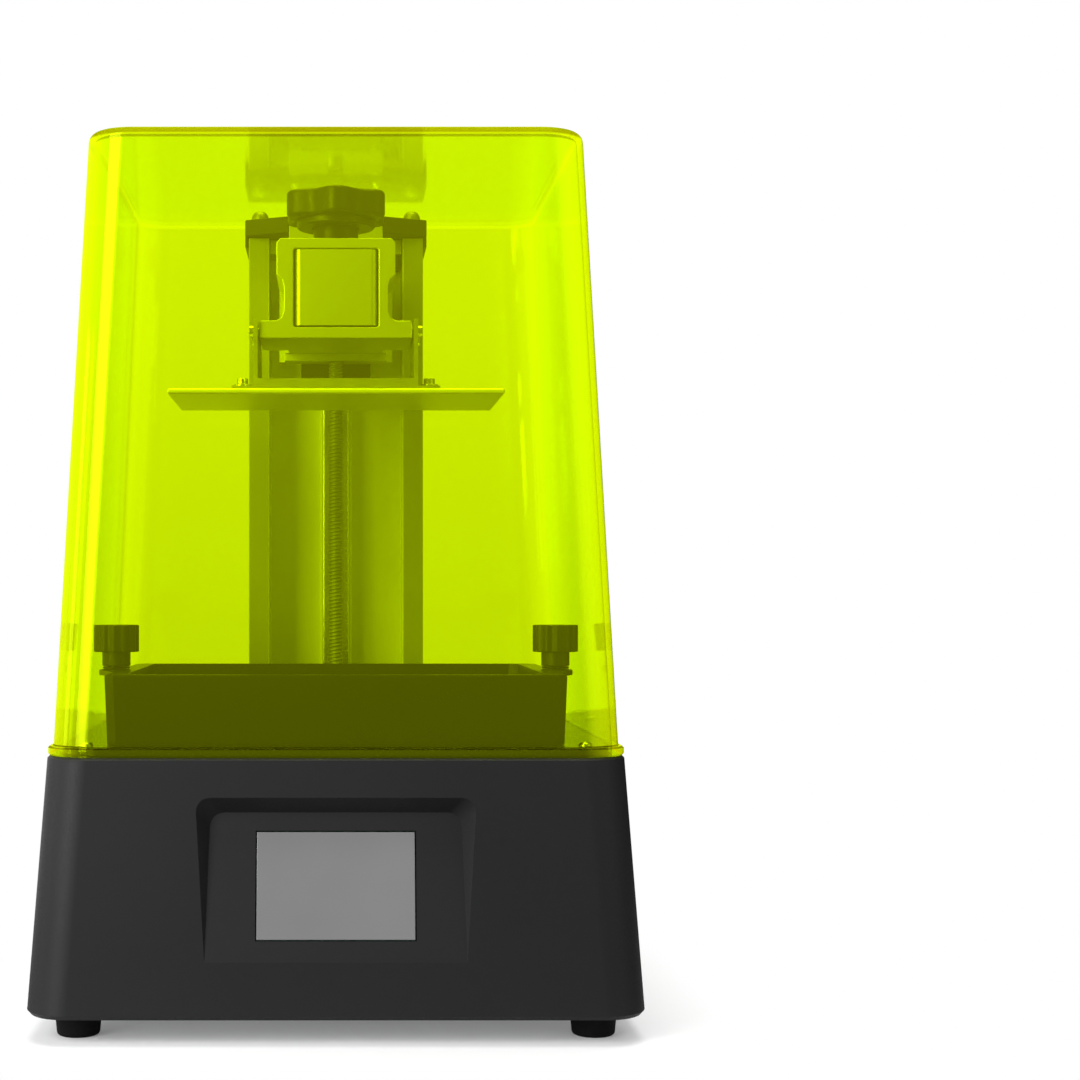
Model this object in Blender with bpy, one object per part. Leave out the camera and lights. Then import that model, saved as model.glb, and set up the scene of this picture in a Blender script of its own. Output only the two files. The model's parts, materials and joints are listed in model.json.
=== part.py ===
"""Desktop resin printer: housing, light engine, Z axis, vat, build platform and lift-off cover.

Sizes are in millimetres and are turned into metres when a mesh is made.
+X is the printer's right, -Y its front, +Z up, and Z = 0 is the surface that the feet stand on.
"""
import math

import bmesh
import bpy
from mathutils import Matrix, Vector

MM = 0.001
GAP = 0.3                      # clearance between pieces that touch

# Housing
BASE_BOTTOM_W = 290.0          # square in plan, at the bottom edge
BASE_TOP_W = 273.0
BASE_Z0 = 12.0                 # the feet's height
BASE_Z1 = 132.0
BASE_WALL = 3.0
PLAN_RADIUS = 21.0             # corner radius in plan
DECK_W = 260.0
DECK_RADIUS = 20.0
DECK_Z1 = 136.5
FOOT_X = 121.8
FOOT_Y = 117.0
FOOT_PROFILE = ((9.2, 0.0), (10.2, 1.0), (11.3, BASE_Z0))   # radius and height

# Front recess and touch screen
RECESS_FLOOR_TOP = (58.7, -130.3, 106.3)
RECESS_EDGE_TOP = (65.1, -137.8, 113.9)
RECESS_TIP = (60.6, -143.1, 38.6)
SCREEN_W = 73.4
SCREEN_H = 49.5
SCREEN_T = 2.0
SCREEN_MID_Z = 73.0

# Cover
COVER_TOP_Z = 430.0
COVER_FOOT_W = 268.0
COVER_TOP_W = 238.0
COVER_WALL = 3.0
FLANGE_T = 4.3

# Exposure window, vat and plate share this line across the printer
PRINT_Y = -41.0
LCD_W, LCD_D = 196.0, 116.0
WINDOW_W, WINDOW_D = 184.0, 104.0
FILM_Z = 138.6
FILM_T = 0.3
VAT_HALF_W = 109.8
VAT_Y0, VAT_Y1 = -120.0, 37.0
VAT_Z0, VAT_Z1 = 136.8, 170.0
VAT_WALL = 4.0
VAT_CHAMFER = 4.5
VAT_WING_X = 119.6             # the rim widens here, under the thumb screws
THUMB_X = 112.5
WASHER_R, WASHER_T = 6.9, 0.9

# Z axis
SCREW_Y = 50.0
SCREW_R = 4.0
COLUMN_HALF_W = 48.8
COLUMN_INNER = 37.4
COLUMN_Y0, COLUMN_FLOOR_Y, COLUMN_Y1 = 52.0, 78.3, 92.0
COLUMN_Z0, COLUMN_Z1 = 136.8, 408.0
RAIL_Y0, RAIL_Y1 = 68.0, 78.0
ARM_FOOT_Z, ARM_Z0, ARM_Z1 = 338.0, 342.0, 386.0
CAP_NOSE = 26.0                # half width of the cap's and the bearing block's front
BEARING_Z1 = 412.6

# Build platform
PLATE_W, PLATE_D = 166.0, 86.0
PLATE_Z0, PLATE_Z1 = 306.4, 309.3
BRACKET_Z0, BRACKET_BASE_Z1, BRACKET_Z1 = 309.6, 315.8, 345.5
FLANGE_HALF_W, FLANGE_Z1 = 52.0, 312.2
PLATE_SCREW_X = 47.0
LEVEL_Z = 340.6                # the platform tilts about this line when it is levelled
BRACKET_INNER, BRACKET_OUTER = 39.0, 41.0
BLOCK_HALF_W = 38.2
HANGER_Y0, HANGER_Y1 = -66.0, -16.0
BLOCK_Z0, BLOCK_Z1 = 336.3, 345.0
WINDOW_HALF, WINDOW_Z0, WINDOW_Z1 = 21.3, 341.8, 381.0
HANGER_Z1 = 386.2
BOSS_R, BOSS_Z1 = 11.5, 397.7
KNOB_Z1 = 412.7

# Openings and parts of the rear wall: middles across and up
FAN_X, FAN_Z, FAN_R = -70.0, 74.0, 23.0
INLET_X, INLET_Z = 98.0, 48.0
SWITCH_X, SWITCH_Z = 98.0, 84.0
USB_X, USB_Z = 40.0, 44.0
ROCKER_SWING = math.radians(14)

# Light engine
LED_PITCH = 13.0
LED_ROWS = (-2, -1, 0, 1, 2)
FIN_COUNT, FIN_PITCH = 8, 14.0

ROUND = 24                     # sides of a small round piece
PLAN_STEPS = 9                 # sides of each round corner of the housing
SLOPE = math.atan2((BASE_BOTTOM_W - BASE_TOP_W) / 2, BASE_Z1 - BASE_Z0)


def clear_scene():
    for thing in list(bpy.data.objects):
        bpy.data.objects.remove(thing, do_unlink=True)


def material(name, colour, roughness, metallic=0.0, alpha=1.0):
    made = bpy.data.materials.new(name)
    made.use_nodes = True
    shader = made.node_tree.nodes["Principled BSDF"]
    shader.inputs["Base Color"].default_value = (*colour, 1.0)
    shader.inputs["Roughness"].default_value = roughness
    shader.inputs["Metallic"].default_value = metallic
    shader.inputs["Alpha"].default_value = alpha
    return made


# ---------------------------------------------------------------- outlines and solids

def rounded_rect(width, depth, radius, steps=5, centre=(0.0, 0.0)):
    """Outline of a rectangle with round corners, anticlockwise from the right front corner."""
    corners = ((1, -1, -90), (1, 1, 0), (-1, 1, 90), (-1, -1, 180))
    points = []
    for side_x, side_y, start in corners:
        middle_x = centre[0] + side_x * (width / 2 - radius)
        middle_y = centre[1] + side_y * (depth / 2 - radius)
        for step in range(steps + 1):
            angle = math.radians(start + 90 * step / steps)
            points.append((middle_x + radius * math.cos(angle), middle_y + radius * math.sin(angle)))
    return points


def circle(radius, centre=(0.0, 0.0), sides=ROUND):
    turns = [2 * math.pi * step / sides for step in range(sides)]
    return [(centre[0] + radius * math.cos(a), centre[1] + radius * math.sin(a)) for a in turns]


def lobes(mean, swing, count, centre, steps, turn=0.0):
    """Round outline whose radius swings in and out, for knobs and grips."""
    points = []
    for step in range(steps):
        angle = 2 * math.pi * step / steps
        radius = mean + swing * math.cos(count * (angle - turn))
        points.append((centre[0] + radius * math.cos(angle), centre[1] + radius * math.sin(angle)))
    return points


def mirrored(half):
    """Closed outline from the points of its right half, listed from bottom to top."""
    return half + [(-x, y) for x, y in reversed(half)]


def at_height(outline, z):
    return [(x, y, z) for x, y in outline]


def at_depth(outline, y):
    """Outline drawn in X and Z, placed at a distance from the front."""
    return [(x, y, z) for x, z in outline]


def solid(name, rings, skin, inner=None):
    """Closed solid through rings of points; inner rings hollow it out from the first ring's side."""
    builder = bmesh.new()

    def tube(levels, outward):
        made = [[builder.verts.new(Vector(p) * MM) for p in level] for level in levels]
        count = len(made[0])
        for low, high in zip(made, made[1:]):
            for i in range(count):
                j = (i + 1) % count
                quad = (low[i], low[j], high[j], high[i])
                builder.faces.new(quad if outward else quad[::-1])
        builder.faces.new(made[-1] if outward else made[-1][::-1])
        return made[0]

    foot = tube(rings, True)
    if inner:
        mouth = tube(inner, False)
        count = len(foot)
        for i in range(count):
            j = (i + 1) % count
            builder.faces.new((foot[j], foot[i], mouth[i], mouth[j]))
    else:
        builder.faces.new(foot[::-1])
    bmesh.ops.recalc_face_normals(builder, faces=builder.faces)
    mesh = bpy.data.meshes.new(name)
    builder.to_mesh(mesh)
    builder.free()
    mesh.materials.append(skin)
    made = bpy.data.objects.new(name, mesh)
    bpy.context.scene.collection.objects.link(made)
    return made


def prism(name, outline, z0, z1, skin):
    return solid(name, [at_height(outline, z0), at_height(outline, z1)], skin)


def prism_y(name, outline, y0, y1, skin):
    """Prism whose outline is drawn in X and Z and runs from front to back."""
    return solid(name, [at_depth(outline, y0), at_depth(outline, y1)], skin)


def box(name, x0, x1, y0, y1, z0, z1, skin):
    return prism(name, [(x0, y0), (x1, y0), (x1, y1), (x0, y1)], z0, z1, skin)


def box_about(name, size, centre, skin):
    half = [s / 2 for s in size]
    return box(name, centre[0] - half[0], centre[0] + half[0], centre[1] - half[1],
               centre[1] + half[1], centre[2] - half[2], centre[2] + half[2], skin)


def rod(name, radius, centre, z0, z1, skin, sides=ROUND):
    return prism(name, circle(radius, centre, sides), z0, z1, skin)


def rod_x(name, radius, x0, x1, y, z, skin, sides=ROUND):
    rings = [[(x, y + radius * math.cos(a), z + radius * math.sin(a))
              for a in (2 * math.pi * i / sides for i in range(sides))] for x in (x0, x1)]
    return solid(name, rings, skin)


def combine(target, others, operation="DIFFERENCE"):
    """Cut the other solids from the target, or join them to it, and remove them."""
    for other in others:
        step = target.modifiers.new(operation.title(), "BOOLEAN")
        step.operation = operation
        step.solver = "EXACT"
        step.object = other
        bpy.context.view_layer.update()
        graph = bpy.context.evaluated_depsgraph_get()
        mesh = bpy.data.meshes.new_from_object(target.evaluated_get(graph))
        target.modifiers.clear()
        old = target.data
        target.data = mesh
        bpy.data.meshes.remove(old)
        bpy.data.objects.remove(other, do_unlink=True)
    return target


def cut(target, *others):
    return combine(target, others)


def join(target, *others):
    return combine(target, others, "UNION")


def bevel(thing, width, segments=1, angle=40):
    edge = thing.modifiers.new("Edges", "BEVEL")
    edge.width = width * MM
    edge.segments = segments
    edge.limit_method = "ANGLE"
    edge.angle_limit = math.radians(angle)
    return thing


def turned(thing, angle, axis, point):
    """Turn a solid about a line through a point."""
    pivot = Vector(point) * MM
    turn = Matrix.Rotation(angle, 4, axis)
    thing.data.transform(Matrix.Translation(pivot) @ turn @ Matrix.Translation(-pivot))
    return thing


def joint(name, point, parent=None):
    """Empty on a joint's axis."""
    made = bpy.data.objects.new(name, None)
    made.empty_display_size = 0.02
    bpy.context.scene.collection.objects.link(made)
    made["place"] = [value * MM for value in point]
    base = Vector(parent["place"]) if parent else Vector()
    made.parent = parent
    made.location = Vector(made["place"]) - base
    return made


def hang(parent, *things):
    """Put solids on a joint, with their origins on its axis."""
    place = Vector(parent["place"])
    for thing in things:
        thing.data.transform(Matrix.Translation(-place))
        thing.parent = parent
        thing.location = (0.0, 0.0, 0.0)


def soften(thing, angle=35):
    thing.data.shade_smooth()
    thing.data.set_sharp_from_angle(angle=math.radians(angle))


# ---------------------------------------------------------------- housing

def base_width(z):
    """Width of the tapering housing at a height."""
    share = (z - BASE_Z0) / (BASE_Z1 - BASE_Z0)
    return BASE_BOTTOM_W + share * (BASE_TOP_W - BASE_BOTTOM_W)


def taper_ring(z, inset=0.0):
    width = base_width(z) - 2 * inset
    return at_height(rounded_rect(width, width, PLAN_RADIUS - inset, PLAN_STEPS), z)


def recess_cutter(skin, margin=0.0):
    """Wedge-shaped recess: full depth under its top wall, and nothing at its lower tips."""
    def ring(top, tip, radius):
        half_top = top[0] + margin
        half_tip = tip[0] + margin
        height = top[2] + margin
        points = [(half_tip, tip[1] + margin, tip[2] - margin)]
        for step in range(5):
            angle = math.radians(90 * step / 4)
            x = half_top - radius + radius * math.cos(angle)
            z = height - radius + radius * math.sin(angle)
            share = (z - tip[2]) / (height - tip[2])
            points.append((x, tip[1] + margin + share * (top[1] - tip[1]), z))
        return points + [(-x, y, z) for x, y, z in reversed(points)]

    floor_top = Vector(RECESS_FLOOR_TOP)
    reach = 3.0
    outer_top = floor_top + reach * (Vector(RECESS_EDGE_TOP) - floor_top)
    tip = Vector(RECESS_TIP)
    outer_tip = tip + Vector((9.6, -10.7, 11.4))      # keeps each side wall in one plane
    rings = [ring(floor_top, tip, 6.5), ring(outer_top, outer_tip, 6.5)]
    return solid("recess_cutter", rings, skin)


def recess_lean():
    rise = RECESS_FLOOR_TOP[2] - RECESS_TIP[2]
    return math.atan2(RECESS_FLOOR_TOP[1] - RECESS_TIP[1], rise)


def recess_floor_y(z):
    share = (z - RECESS_TIP[2]) / (RECESS_FLOOR_TOP[2] - RECESS_TIP[2])
    return RECESS_TIP[1] + share * (RECESS_FLOOR_TOP[1] - RECESS_TIP[1])


def on_rear(thing, z):
    """Lean a solid that was drawn on an upright rear wall back onto the sloping one."""
    return turned(thing, SLOPE, "X", (0, base_width(z) / 2, z))


def rear_cutters(skin):
    """Openings in the rear wall: fan slots, inlet, switch and USB port."""
    wall_fan = base_width(FAN_Z) / 2
    made = []
    for row in range(5):
        offset = (row - 2) * 9.0
        reach = math.sqrt(FAN_R ** 2 - offset ** 2)
        slot = box_about("slot", (2 * reach, 16, 4.6), (FAN_X, wall_fan, FAN_Z + offset), skin)
        made.append(on_rear(slot, FAN_Z))
    for x, z, width, height in ((INLET_X, INLET_Z, 28.6, 20.6), (SWITCH_X, SWITCH_Z, 21.6, 15.6),
                                (USB_X, USB_Z, 15.0, 7.6)):
        hole = box_about("hole", (width, 16, height), (x, base_width(z) / 2, z), skin)
        made.append(on_rear(hole, z))
    return made


def make_housing(skins):
    dark = skins["housing"]
    shell = solid("base_shell", [taper_ring(BASE_Z0, 2.0), taper_ring(BASE_Z0 + 2.0),
                                 taper_ring(BASE_Z1 - 1.0), taper_ring(BASE_Z1, 1.0)], dark)
    cavity_rings = [taper_ring(BASE_Z0 - 1, BASE_WALL), taper_ring(BASE_Z1 - BASE_WALL, BASE_WALL)]
    cavity = solid("cavity", cavity_rings, dark)
    cut(cavity, recess_cutter(dark, BASE_WALL))
    top_hole = prism("top_hole", rounded_rect(246, 246, 12), BASE_Z1 - 8, BASE_Z1 + 2, dark)
    lean = recess_lean()
    screen_y = recess_floor_y(SCREEN_MID_Z)
    screen_centre = (0, screen_y, SCREEN_MID_Z)
    window_size = (SCREEN_W + 4 * GAP, 30, SCREEN_H + 4 * GAP)
    window = box_about("window", window_size, screen_centre, dark)
    turned(window, -lean, "X", screen_centre)
    cut(shell, cavity, top_hole, recess_cutter(dark), window, *rear_cutters(dark))

    screen = box_about("touch_screen", (SCREEN_W, SCREEN_T, SCREEN_H),
                       (0, screen_y + SCREEN_T / 2, SCREEN_MID_Z), skins["screen"])
    module_y = screen_y + BASE_WALL + 4.5
    module = box_about("display_module", (85, 4, 56), (0, module_y, SCREEN_MID_Z), skins["board"])
    pillar = box("pillar", -30, 30, screen_y + SCREEN_T + GAP, module_y - 1, SCREEN_MID_Z - 20,
                 SCREEN_MID_Z + 20, skins["board"])
    join(module, pillar)
    for thing in (screen, module):
        turned(thing, -lean, "X", screen_centre)

    inner = base_width(BASE_Z0) - 2 * BASE_WALL - 4 * GAP
    bottom = prism("bottom_plate", rounded_rect(inner, inner, PLAN_RADIUS - BASE_WALL), BASE_Z0 + GAP,
                   BASE_Z0 + 2.3, skins["steel_dark"])
    vents = [box_about("vent", (64, 4.5, 12), (0, PRINT_Y + row * 10, BASE_Z0), skins["steel_dark"])
             for row in range(-3, 4)]
    cut(bottom, *vents)

    for side_x, word_x in ((-1, "left"), (1, "right")):
        for side_y, word_y in ((-1, "front"), (1, "rear")):
            centre = (side_x * FOOT_X, side_y * FOOT_Y)
            rings = [at_height(circle(radius, centre), z) for radius, z in FOOT_PROFILE]
            soften(solid(f"foot_{word_y}_{word_x}", rings, skins["rubber"]))

    deck = prism("deck_plate", rounded_rect(DECK_W, DECK_W, DECK_RADIUS), BASE_Z1 + GAP, DECK_Z1, dark)
    holes = [box_about("hole", (WINDOW_W, WINDOW_D, 20), (0, PRINT_Y, DECK_Z1), dark),
             rod("hole", 11.5, (0, SCREW_Y), BASE_Z1 - 4, DECK_Z1 + 4, dark)]
    for side in (-1, 1):
        holes.append(rod("hole", 3.5, (side * THUMB_X, PRINT_Y), BASE_Z1 - 4, DECK_Z1 + 4, dark))
    cut(deck, *holes)
    for thing in (shell, deck, bottom):
        soften(thing)


def make_rear_parts(skins):
    wall = base_width(FAN_Z) / 2 - BASE_WALL - GAP * 2
    frame = box_about("exhaust_fan_frame", (60, 15, 60), (FAN_X, wall - 7.5, FAN_Z), skins["plastic"])
    bore = prism_y("bore", circle(27.5, (FAN_X, FAN_Z), 32), wall - 20, wall + 5, skins["plastic"])
    cut(frame, bore)
    spokes = box_about("spokes", (58, 2, 5), (FAN_X, wall - 13.9, FAN_Z), skins["plastic"])
    join(frame, spokes)
    rotor = fan_rotor("exhaust_fan_rotor", 25.5, 12.0, 9.0, skins["plastic"])
    rotor.data.transform(Matrix.Rotation(math.radians(-90), 4, "X"))
    rotor.data.transform(Matrix.Translation(Vector((FAN_X, wall - 11.5, FAN_Z)) * MM))
    for thing in (frame, rotor):
        on_rear(thing, FAN_Z)
    axle = joint("exhaust_fan_axis", (FAN_X, base_width(FAN_Z) / 2, FAN_Z))
    hang(axle, rotor)

    inlet_y = base_width(INLET_Z) / 2
    inlet = box_about("mains_inlet", (28, 22, 20), (INLET_X, inlet_y - 10, INLET_Z), skins["plastic"])
    lip = box_about("lip", (34, 1, 26), (INLET_X, inlet_y + GAP + 0.5, INLET_Z), skins["plastic"])
    join(inlet, lip)
    socket = box_about("socket", (24, 30, 16), (INLET_X, inlet_y + 1, INLET_Z), skins["plastic"])
    cut(inlet, socket)
    pins = [box_about("pin", (2, 14, 4), (INLET_X + offset, inlet_y - 9, INLET_Z + rise), skins["plastic"])
            for offset, rise in ((-7, -2), (7, -2), (0, 3))]
    join(inlet, *pins)
    on_rear(inlet, INLET_Z)

    switch_y = base_width(SWITCH_Z) / 2
    body_centre = (SWITCH_X, switch_y - 8.5, SWITCH_Z)
    body = box_about("power_switch_body", (21, 18, 15), body_centre, skins["plastic"])
    rim = box_about("rim", (25, 1, 19), (SWITCH_X, switch_y + GAP + 0.5, SWITCH_Z), skins["plastic"])
    join(body, rim)
    well = box_about("well", (17, 12, 12), (SWITCH_X, switch_y - 1, SWITCH_Z), skins["plastic"])
    cut(body, well)
    on_rear(body, SWITCH_Z)

    usb_y = base_width(USB_Z) / 2
    usb = box_about("usb_port", (14.2, 17, 6.8), (USB_X, usb_y - 8.2, USB_Z), skins["steel"])
    mouth = box_about("mouth", (12.6, 12, 5.2), (USB_X, usb_y - 3.5, USB_Z), skins["steel"])
    cut(usb, mouth)
    tongue = box_about("tongue", (10.5, 11, 1.8), (USB_X, usb_y - 7.5, USB_Z + 1.0), skins["steel"])
    join(usb, tongue)
    on_rear(usb, USB_Z)


def fan_rotor(name, radius, hub, height, skin, blades=7):
    """Hub and pitched blades about +Z, with the origin at the hub's lower face."""
    rotor = rod(name, hub, (0, 0), 0, height, skin)
    for blade in range(blades):
        middle = ((radius + hub) / 2 - 1, 0, height / 2)
        piece = box_about("blade", (radius - hub + 2, 9.5, 1.2), middle, skin)
        turned(piece, math.radians(32), "X", (0, 0, height / 2))
        turned(piece, 2 * math.pi * blade / blades, "Z", (0, 0, 0))
        join(rotor, piece)
    return rotor


# ---------------------------------------------------------------- light engine and electronics

def make_light_engine(skins):
    lcd_plan = rounded_rect(LCD_W, LCD_D, 2, 1, (0, PRINT_Y))
    lcd = prism("lcd_panel", lcd_plan, DECK_Z1 + GAP, FILM_Z - GAP, skins["lcd"])
    lens = box_about("fresnel_lens", (WINDOW_W - 1, WINDOW_D - 1, 2.6), (0, PRINT_Y, DECK_Z1 - 1.6),
                     skins["lens"])

    def frustum(inset, z0, z1):
        low = rounded_rect(78 - inset, 78 - inset, 2, 1, (0, PRINT_Y))
        high = rounded_rect(186 - inset, 106 - inset, 2, 1, (0, PRINT_Y))
        return [at_height(low, z0), at_height(high, z1)]

    hood = solid("light_hood", frustum(0, 64, BASE_Z1 - 0.2), skins["plastic"])
    cut(hood, solid("inside", frustum(4, 63, BASE_Z1 + 0.8), skins["plastic"]))
    board = box_about("led_array_board", (90, 86, 1.6), (0, PRINT_Y, 62.6), skins["board"])
    leds = [box_about("led", (5, 5, 2), (x * LED_PITCH, PRINT_Y + y * LED_PITCH, 64), skins["board"])
            for x in LED_ROWS for y in LED_ROWS]
    join(board, *leds)

    sink = box_about("heat_sink", (100, 90, 6), (0, PRINT_Y, 58.2), skins["aluminium"])
    fins = [box_about("fin", (2, 90, 19), ((i - (FIN_COUNT - 1) / 2) * FIN_PITCH, PRINT_Y, 46.5),
                      skins["aluminium"]) for i in range(FIN_COUNT)]
    join(sink, *fins)

    frame = box_about("led_fan_frame", (80, 80, 18), (0, PRINT_Y, 27.2), skins["plastic"])
    cut(frame, rod("bore", 37.5, (0, PRINT_Y), 10, 50, skins["plastic"], 32))
    join(frame, box_about("spoke", (78, 6, 2), (0, PRINT_Y, 19.2), skins["plastic"]))
    rotor = fan_rotor("led_fan_rotor", 35.5, 15.0, 12.0, skins["plastic"])
    rotor.data.transform(Matrix.Translation(Vector((0, PRINT_Y, 21.0)) * MM))
    fan = joint("led_fan_axis", (0, PRINT_Y, 21.0))
    hang(fan, rotor)

    supply = box("power_supply", -128, -28, 60, 112, 20, 52, skins["steel"])
    bevel(supply, 1.0)
    posts = [rod("post", 3, (x, y), BASE_Z0 + 2.6, 21, skins["steel"], 12)
             for x in (-120, -36) for y in (66, 106)]
    join(supply, *posts)
    main = box("mainboard", 36, 126, 20, 110, 20, 21.6, skins["board"])
    places = ((50, 68, 40, 58, 26), (84, 120, 30, 44, 32), (44, 60, 92, 108, 30), (80, 96, 84, 100, 34))
    chips = [box("chip", x0, x1, y0, y1, 21, top, skins["board"]) for x0, x1, y0, y1, top in places]
    posts = [rod("post", 3, (x, y), BASE_Z0 + 2.6, 20.6, skins["board"], 12)
             for x in (42, 120) for y in (26, 104)]
    join(main, *chips, *posts)


# ---------------------------------------------------------------- Z axis

def make_z_axis(skins):
    grey = skins["aluminium"]
    motor = prism("z_motor", rounded_rect(42.3, 42.3, 5, 1, (0, SCREW_Y)), 92, BASE_Z1, skins["motor"])
    join(motor, rod("boss", 11, (0, SCREW_Y), BASE_Z1 - 1, BASE_Z1 + 2, skins["motor"]))
    cut(motor, rod("bore", 3.0, (0, SCREW_Y), 120, BASE_Z1 + 4, skins["motor"]))

    shaft = rod("motor_shaft", 2.5, (0, SCREW_Y), 120.5, 151.5, skins["steel"])
    coupling = rod("shaft_coupling", 9.5, (0, SCREW_Y), 140, 165, grey)
    bores = [rod("bore", 2.8, (0, SCREW_Y), 138, 153, grey),
             rod("bore", SCREW_R + GAP, (0, SCREW_Y), 152, 168, grey)]
    slots = [box_about("slot", (30, 12, 0.8), (0, SCREW_Y + 7 * side, 150 + 4 * i), grey)
             for i, side in ((0, -1), (1, 1), (2, -1))]
    cut(coupling, *bores, *slots)
    screw = rod("lead_screw", SCREW_R, (0, SCREW_Y), 153.3, 410, skins["steel"])

    right = [(8.6, COLUMN_Y1), (COLUMN_HALF_W, COLUMN_Y1), (COLUMN_HALF_W, COLUMN_Y0),
             (COLUMN_INNER, COLUMN_Y0), (COLUMN_INNER, COLUMN_FLOOR_Y + 2), (8.6, COLUMN_FLOOR_Y + 2),
             (8.6, COLUMN_FLOOR_Y)]
    prism("column", mirrored(right)[::-1], COLUMN_Z0, COLUMN_Z1, grey)
    cap_z = COLUMN_Z1 + 0.4
    plan = [(-50.8, 93.5), (-50.8, 50.5), (-CAP_NOSE, 39.0), (CAP_NOSE, 39.0), (50.8, 50.5), (50.8, 93.5)]
    cap = prism("column_cap", plan, cap_z, 417.8, skins["plastic"])
    bevel(cap, 0.5)
    skirts = [box_about("skirt", (1.6, 40.3, 7.2), (side * 50.0, 72.15, 406.4), skins["plastic"])
              for side in (-1, 1)]
    join(cap, *skirts)
    room_half = CAP_NOSE + 0.4
    cut(cap, box("room", -room_half, room_half, 35, 62.2, cap_z - 2, BEARING_Z1 + 0.4, skins["plastic"]))

    rail_side = [(7.5, RAIL_Y1), (7.5, 74.5), (5.6, 73.2), (5.6, 71.8), (7.5, 70.5), (7.5, 68.6),
                 (6.9, RAIL_Y0)]
    prism("linear_rail", mirrored(rail_side)[::-1], 142, 396, skins["steel"])

    def around_rail(name, front, back, half, z0, z1, skin):
        piece = box(name, -half, half, front, back, z0, z1, skin)
        channel = box("channel", -7.8, 7.8, RAIL_Y0 - GAP, back + 5, z0 - 5, z1 + 5, skin)
        return cut(piece, channel)

    carriage = around_rail("carriage_block", 59, 76, 20, 340, 384, skins["steel"])
    lower = around_rail("carriage_seal_lower", 61.5, 75.5, 19.6, 331.3, 339.7, skins["plastic"])
    upper = around_rail("carriage_seal_upper", 61.5, 75.5, 19.6, 384.3, 392, skins["plastic"])

    arm = box("platform_arm", -31.5, 31.5, COLUMN_Y0 - 2, 58.7, ARM_FOOT_Z, ARM_Z1, grey)
    knuckle = box("knuckle", -28, 28, 40, 55, ARM_Z0, ARM_Z1 - 2, grey)
    beam = box("beam", -26, 26, HANGER_Y1 + 4, 41, ARM_Z0, ARM_Z1 - 1, grey)
    edge = box("edge", -28.3, 28.3, 42, 55, ARM_FOOT_Z, ARM_Z0 + 1, grey)
    tongue_d = HANGER_Y1 + 6 - HANGER_Y0
    tongue_plan = rounded_rect(2 * WINDOW_HALF - 1.4, tongue_d, 3, 4, (0, HANGER_Y0 + tongue_d / 2))
    tongue = prism("tongue", tongue_plan, WINDOW_Z0 + 0.8, WINDOW_Z1 - 0.4, grey)
    join(arm, knuckle, edge, beam, tongue)
    cut(arm, rod("bore", SCREW_R + 0.7, (0, SCREW_Y), 330, 372, grey),
        rod("bore", 6.4, (0, SCREW_Y), 370, 390, grey))
    nut = rod("lead_nut", 11, (0, SCREW_Y), ARM_Z1 + GAP, ARM_Z1 + 3.8, skins["brass"])
    join(nut, rod("barrel", 6.0, (0, SCREW_Y), 370.8, ARM_Z1 + 2, skins["brass"]))
    cut(nut, rod("bore", SCREW_R + GAP, (0, SCREW_Y), 330, 395, skins["brass"]))

    block = box("bearing_block", -CAP_NOSE, CAP_NOSE, 39.6, 61.8, 400, BEARING_Z1, grey)
    join(block, box("web", -37, 37, 58, 77.9, 400, COLUMN_Z1, grey))
    cut(block, rod("bore", 11.3, (0, SCREW_Y), 402, 415, grey),
        rod("bore", 6.0, (0, SCREW_Y), 395, 403, grey))
    bearing = rod("top_bearing", 11, (0, SCREW_Y), 402.3, 409.3, skins["steel"])
    cut(bearing, rod("bore", SCREW_R + GAP, (0, SCREW_Y), 395, 412, skins["steel"]))
    sensor = box("limit_sensor", 23, 36, 62, 78, 393, 399.7, skins["plastic"])
    cut(sensor, box("slot", 27, 31, 58, 70, 390, 402, skins["plastic"]))

    lift = joint("z_carriage", (0, SCREW_Y, ARM_Z0))
    hang(lift, carriage, lower, upper, arm, nut)
    spin = joint("z_screw_axis", (0, SCREW_Y, 0))
    hang(spin, shaft, coupling, screw)
    for thing in (shaft, coupling, screw, nut, bearing, motor, arm):
        soften(thing)
    return lift


# ---------------------------------------------------------------- build platform

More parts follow.
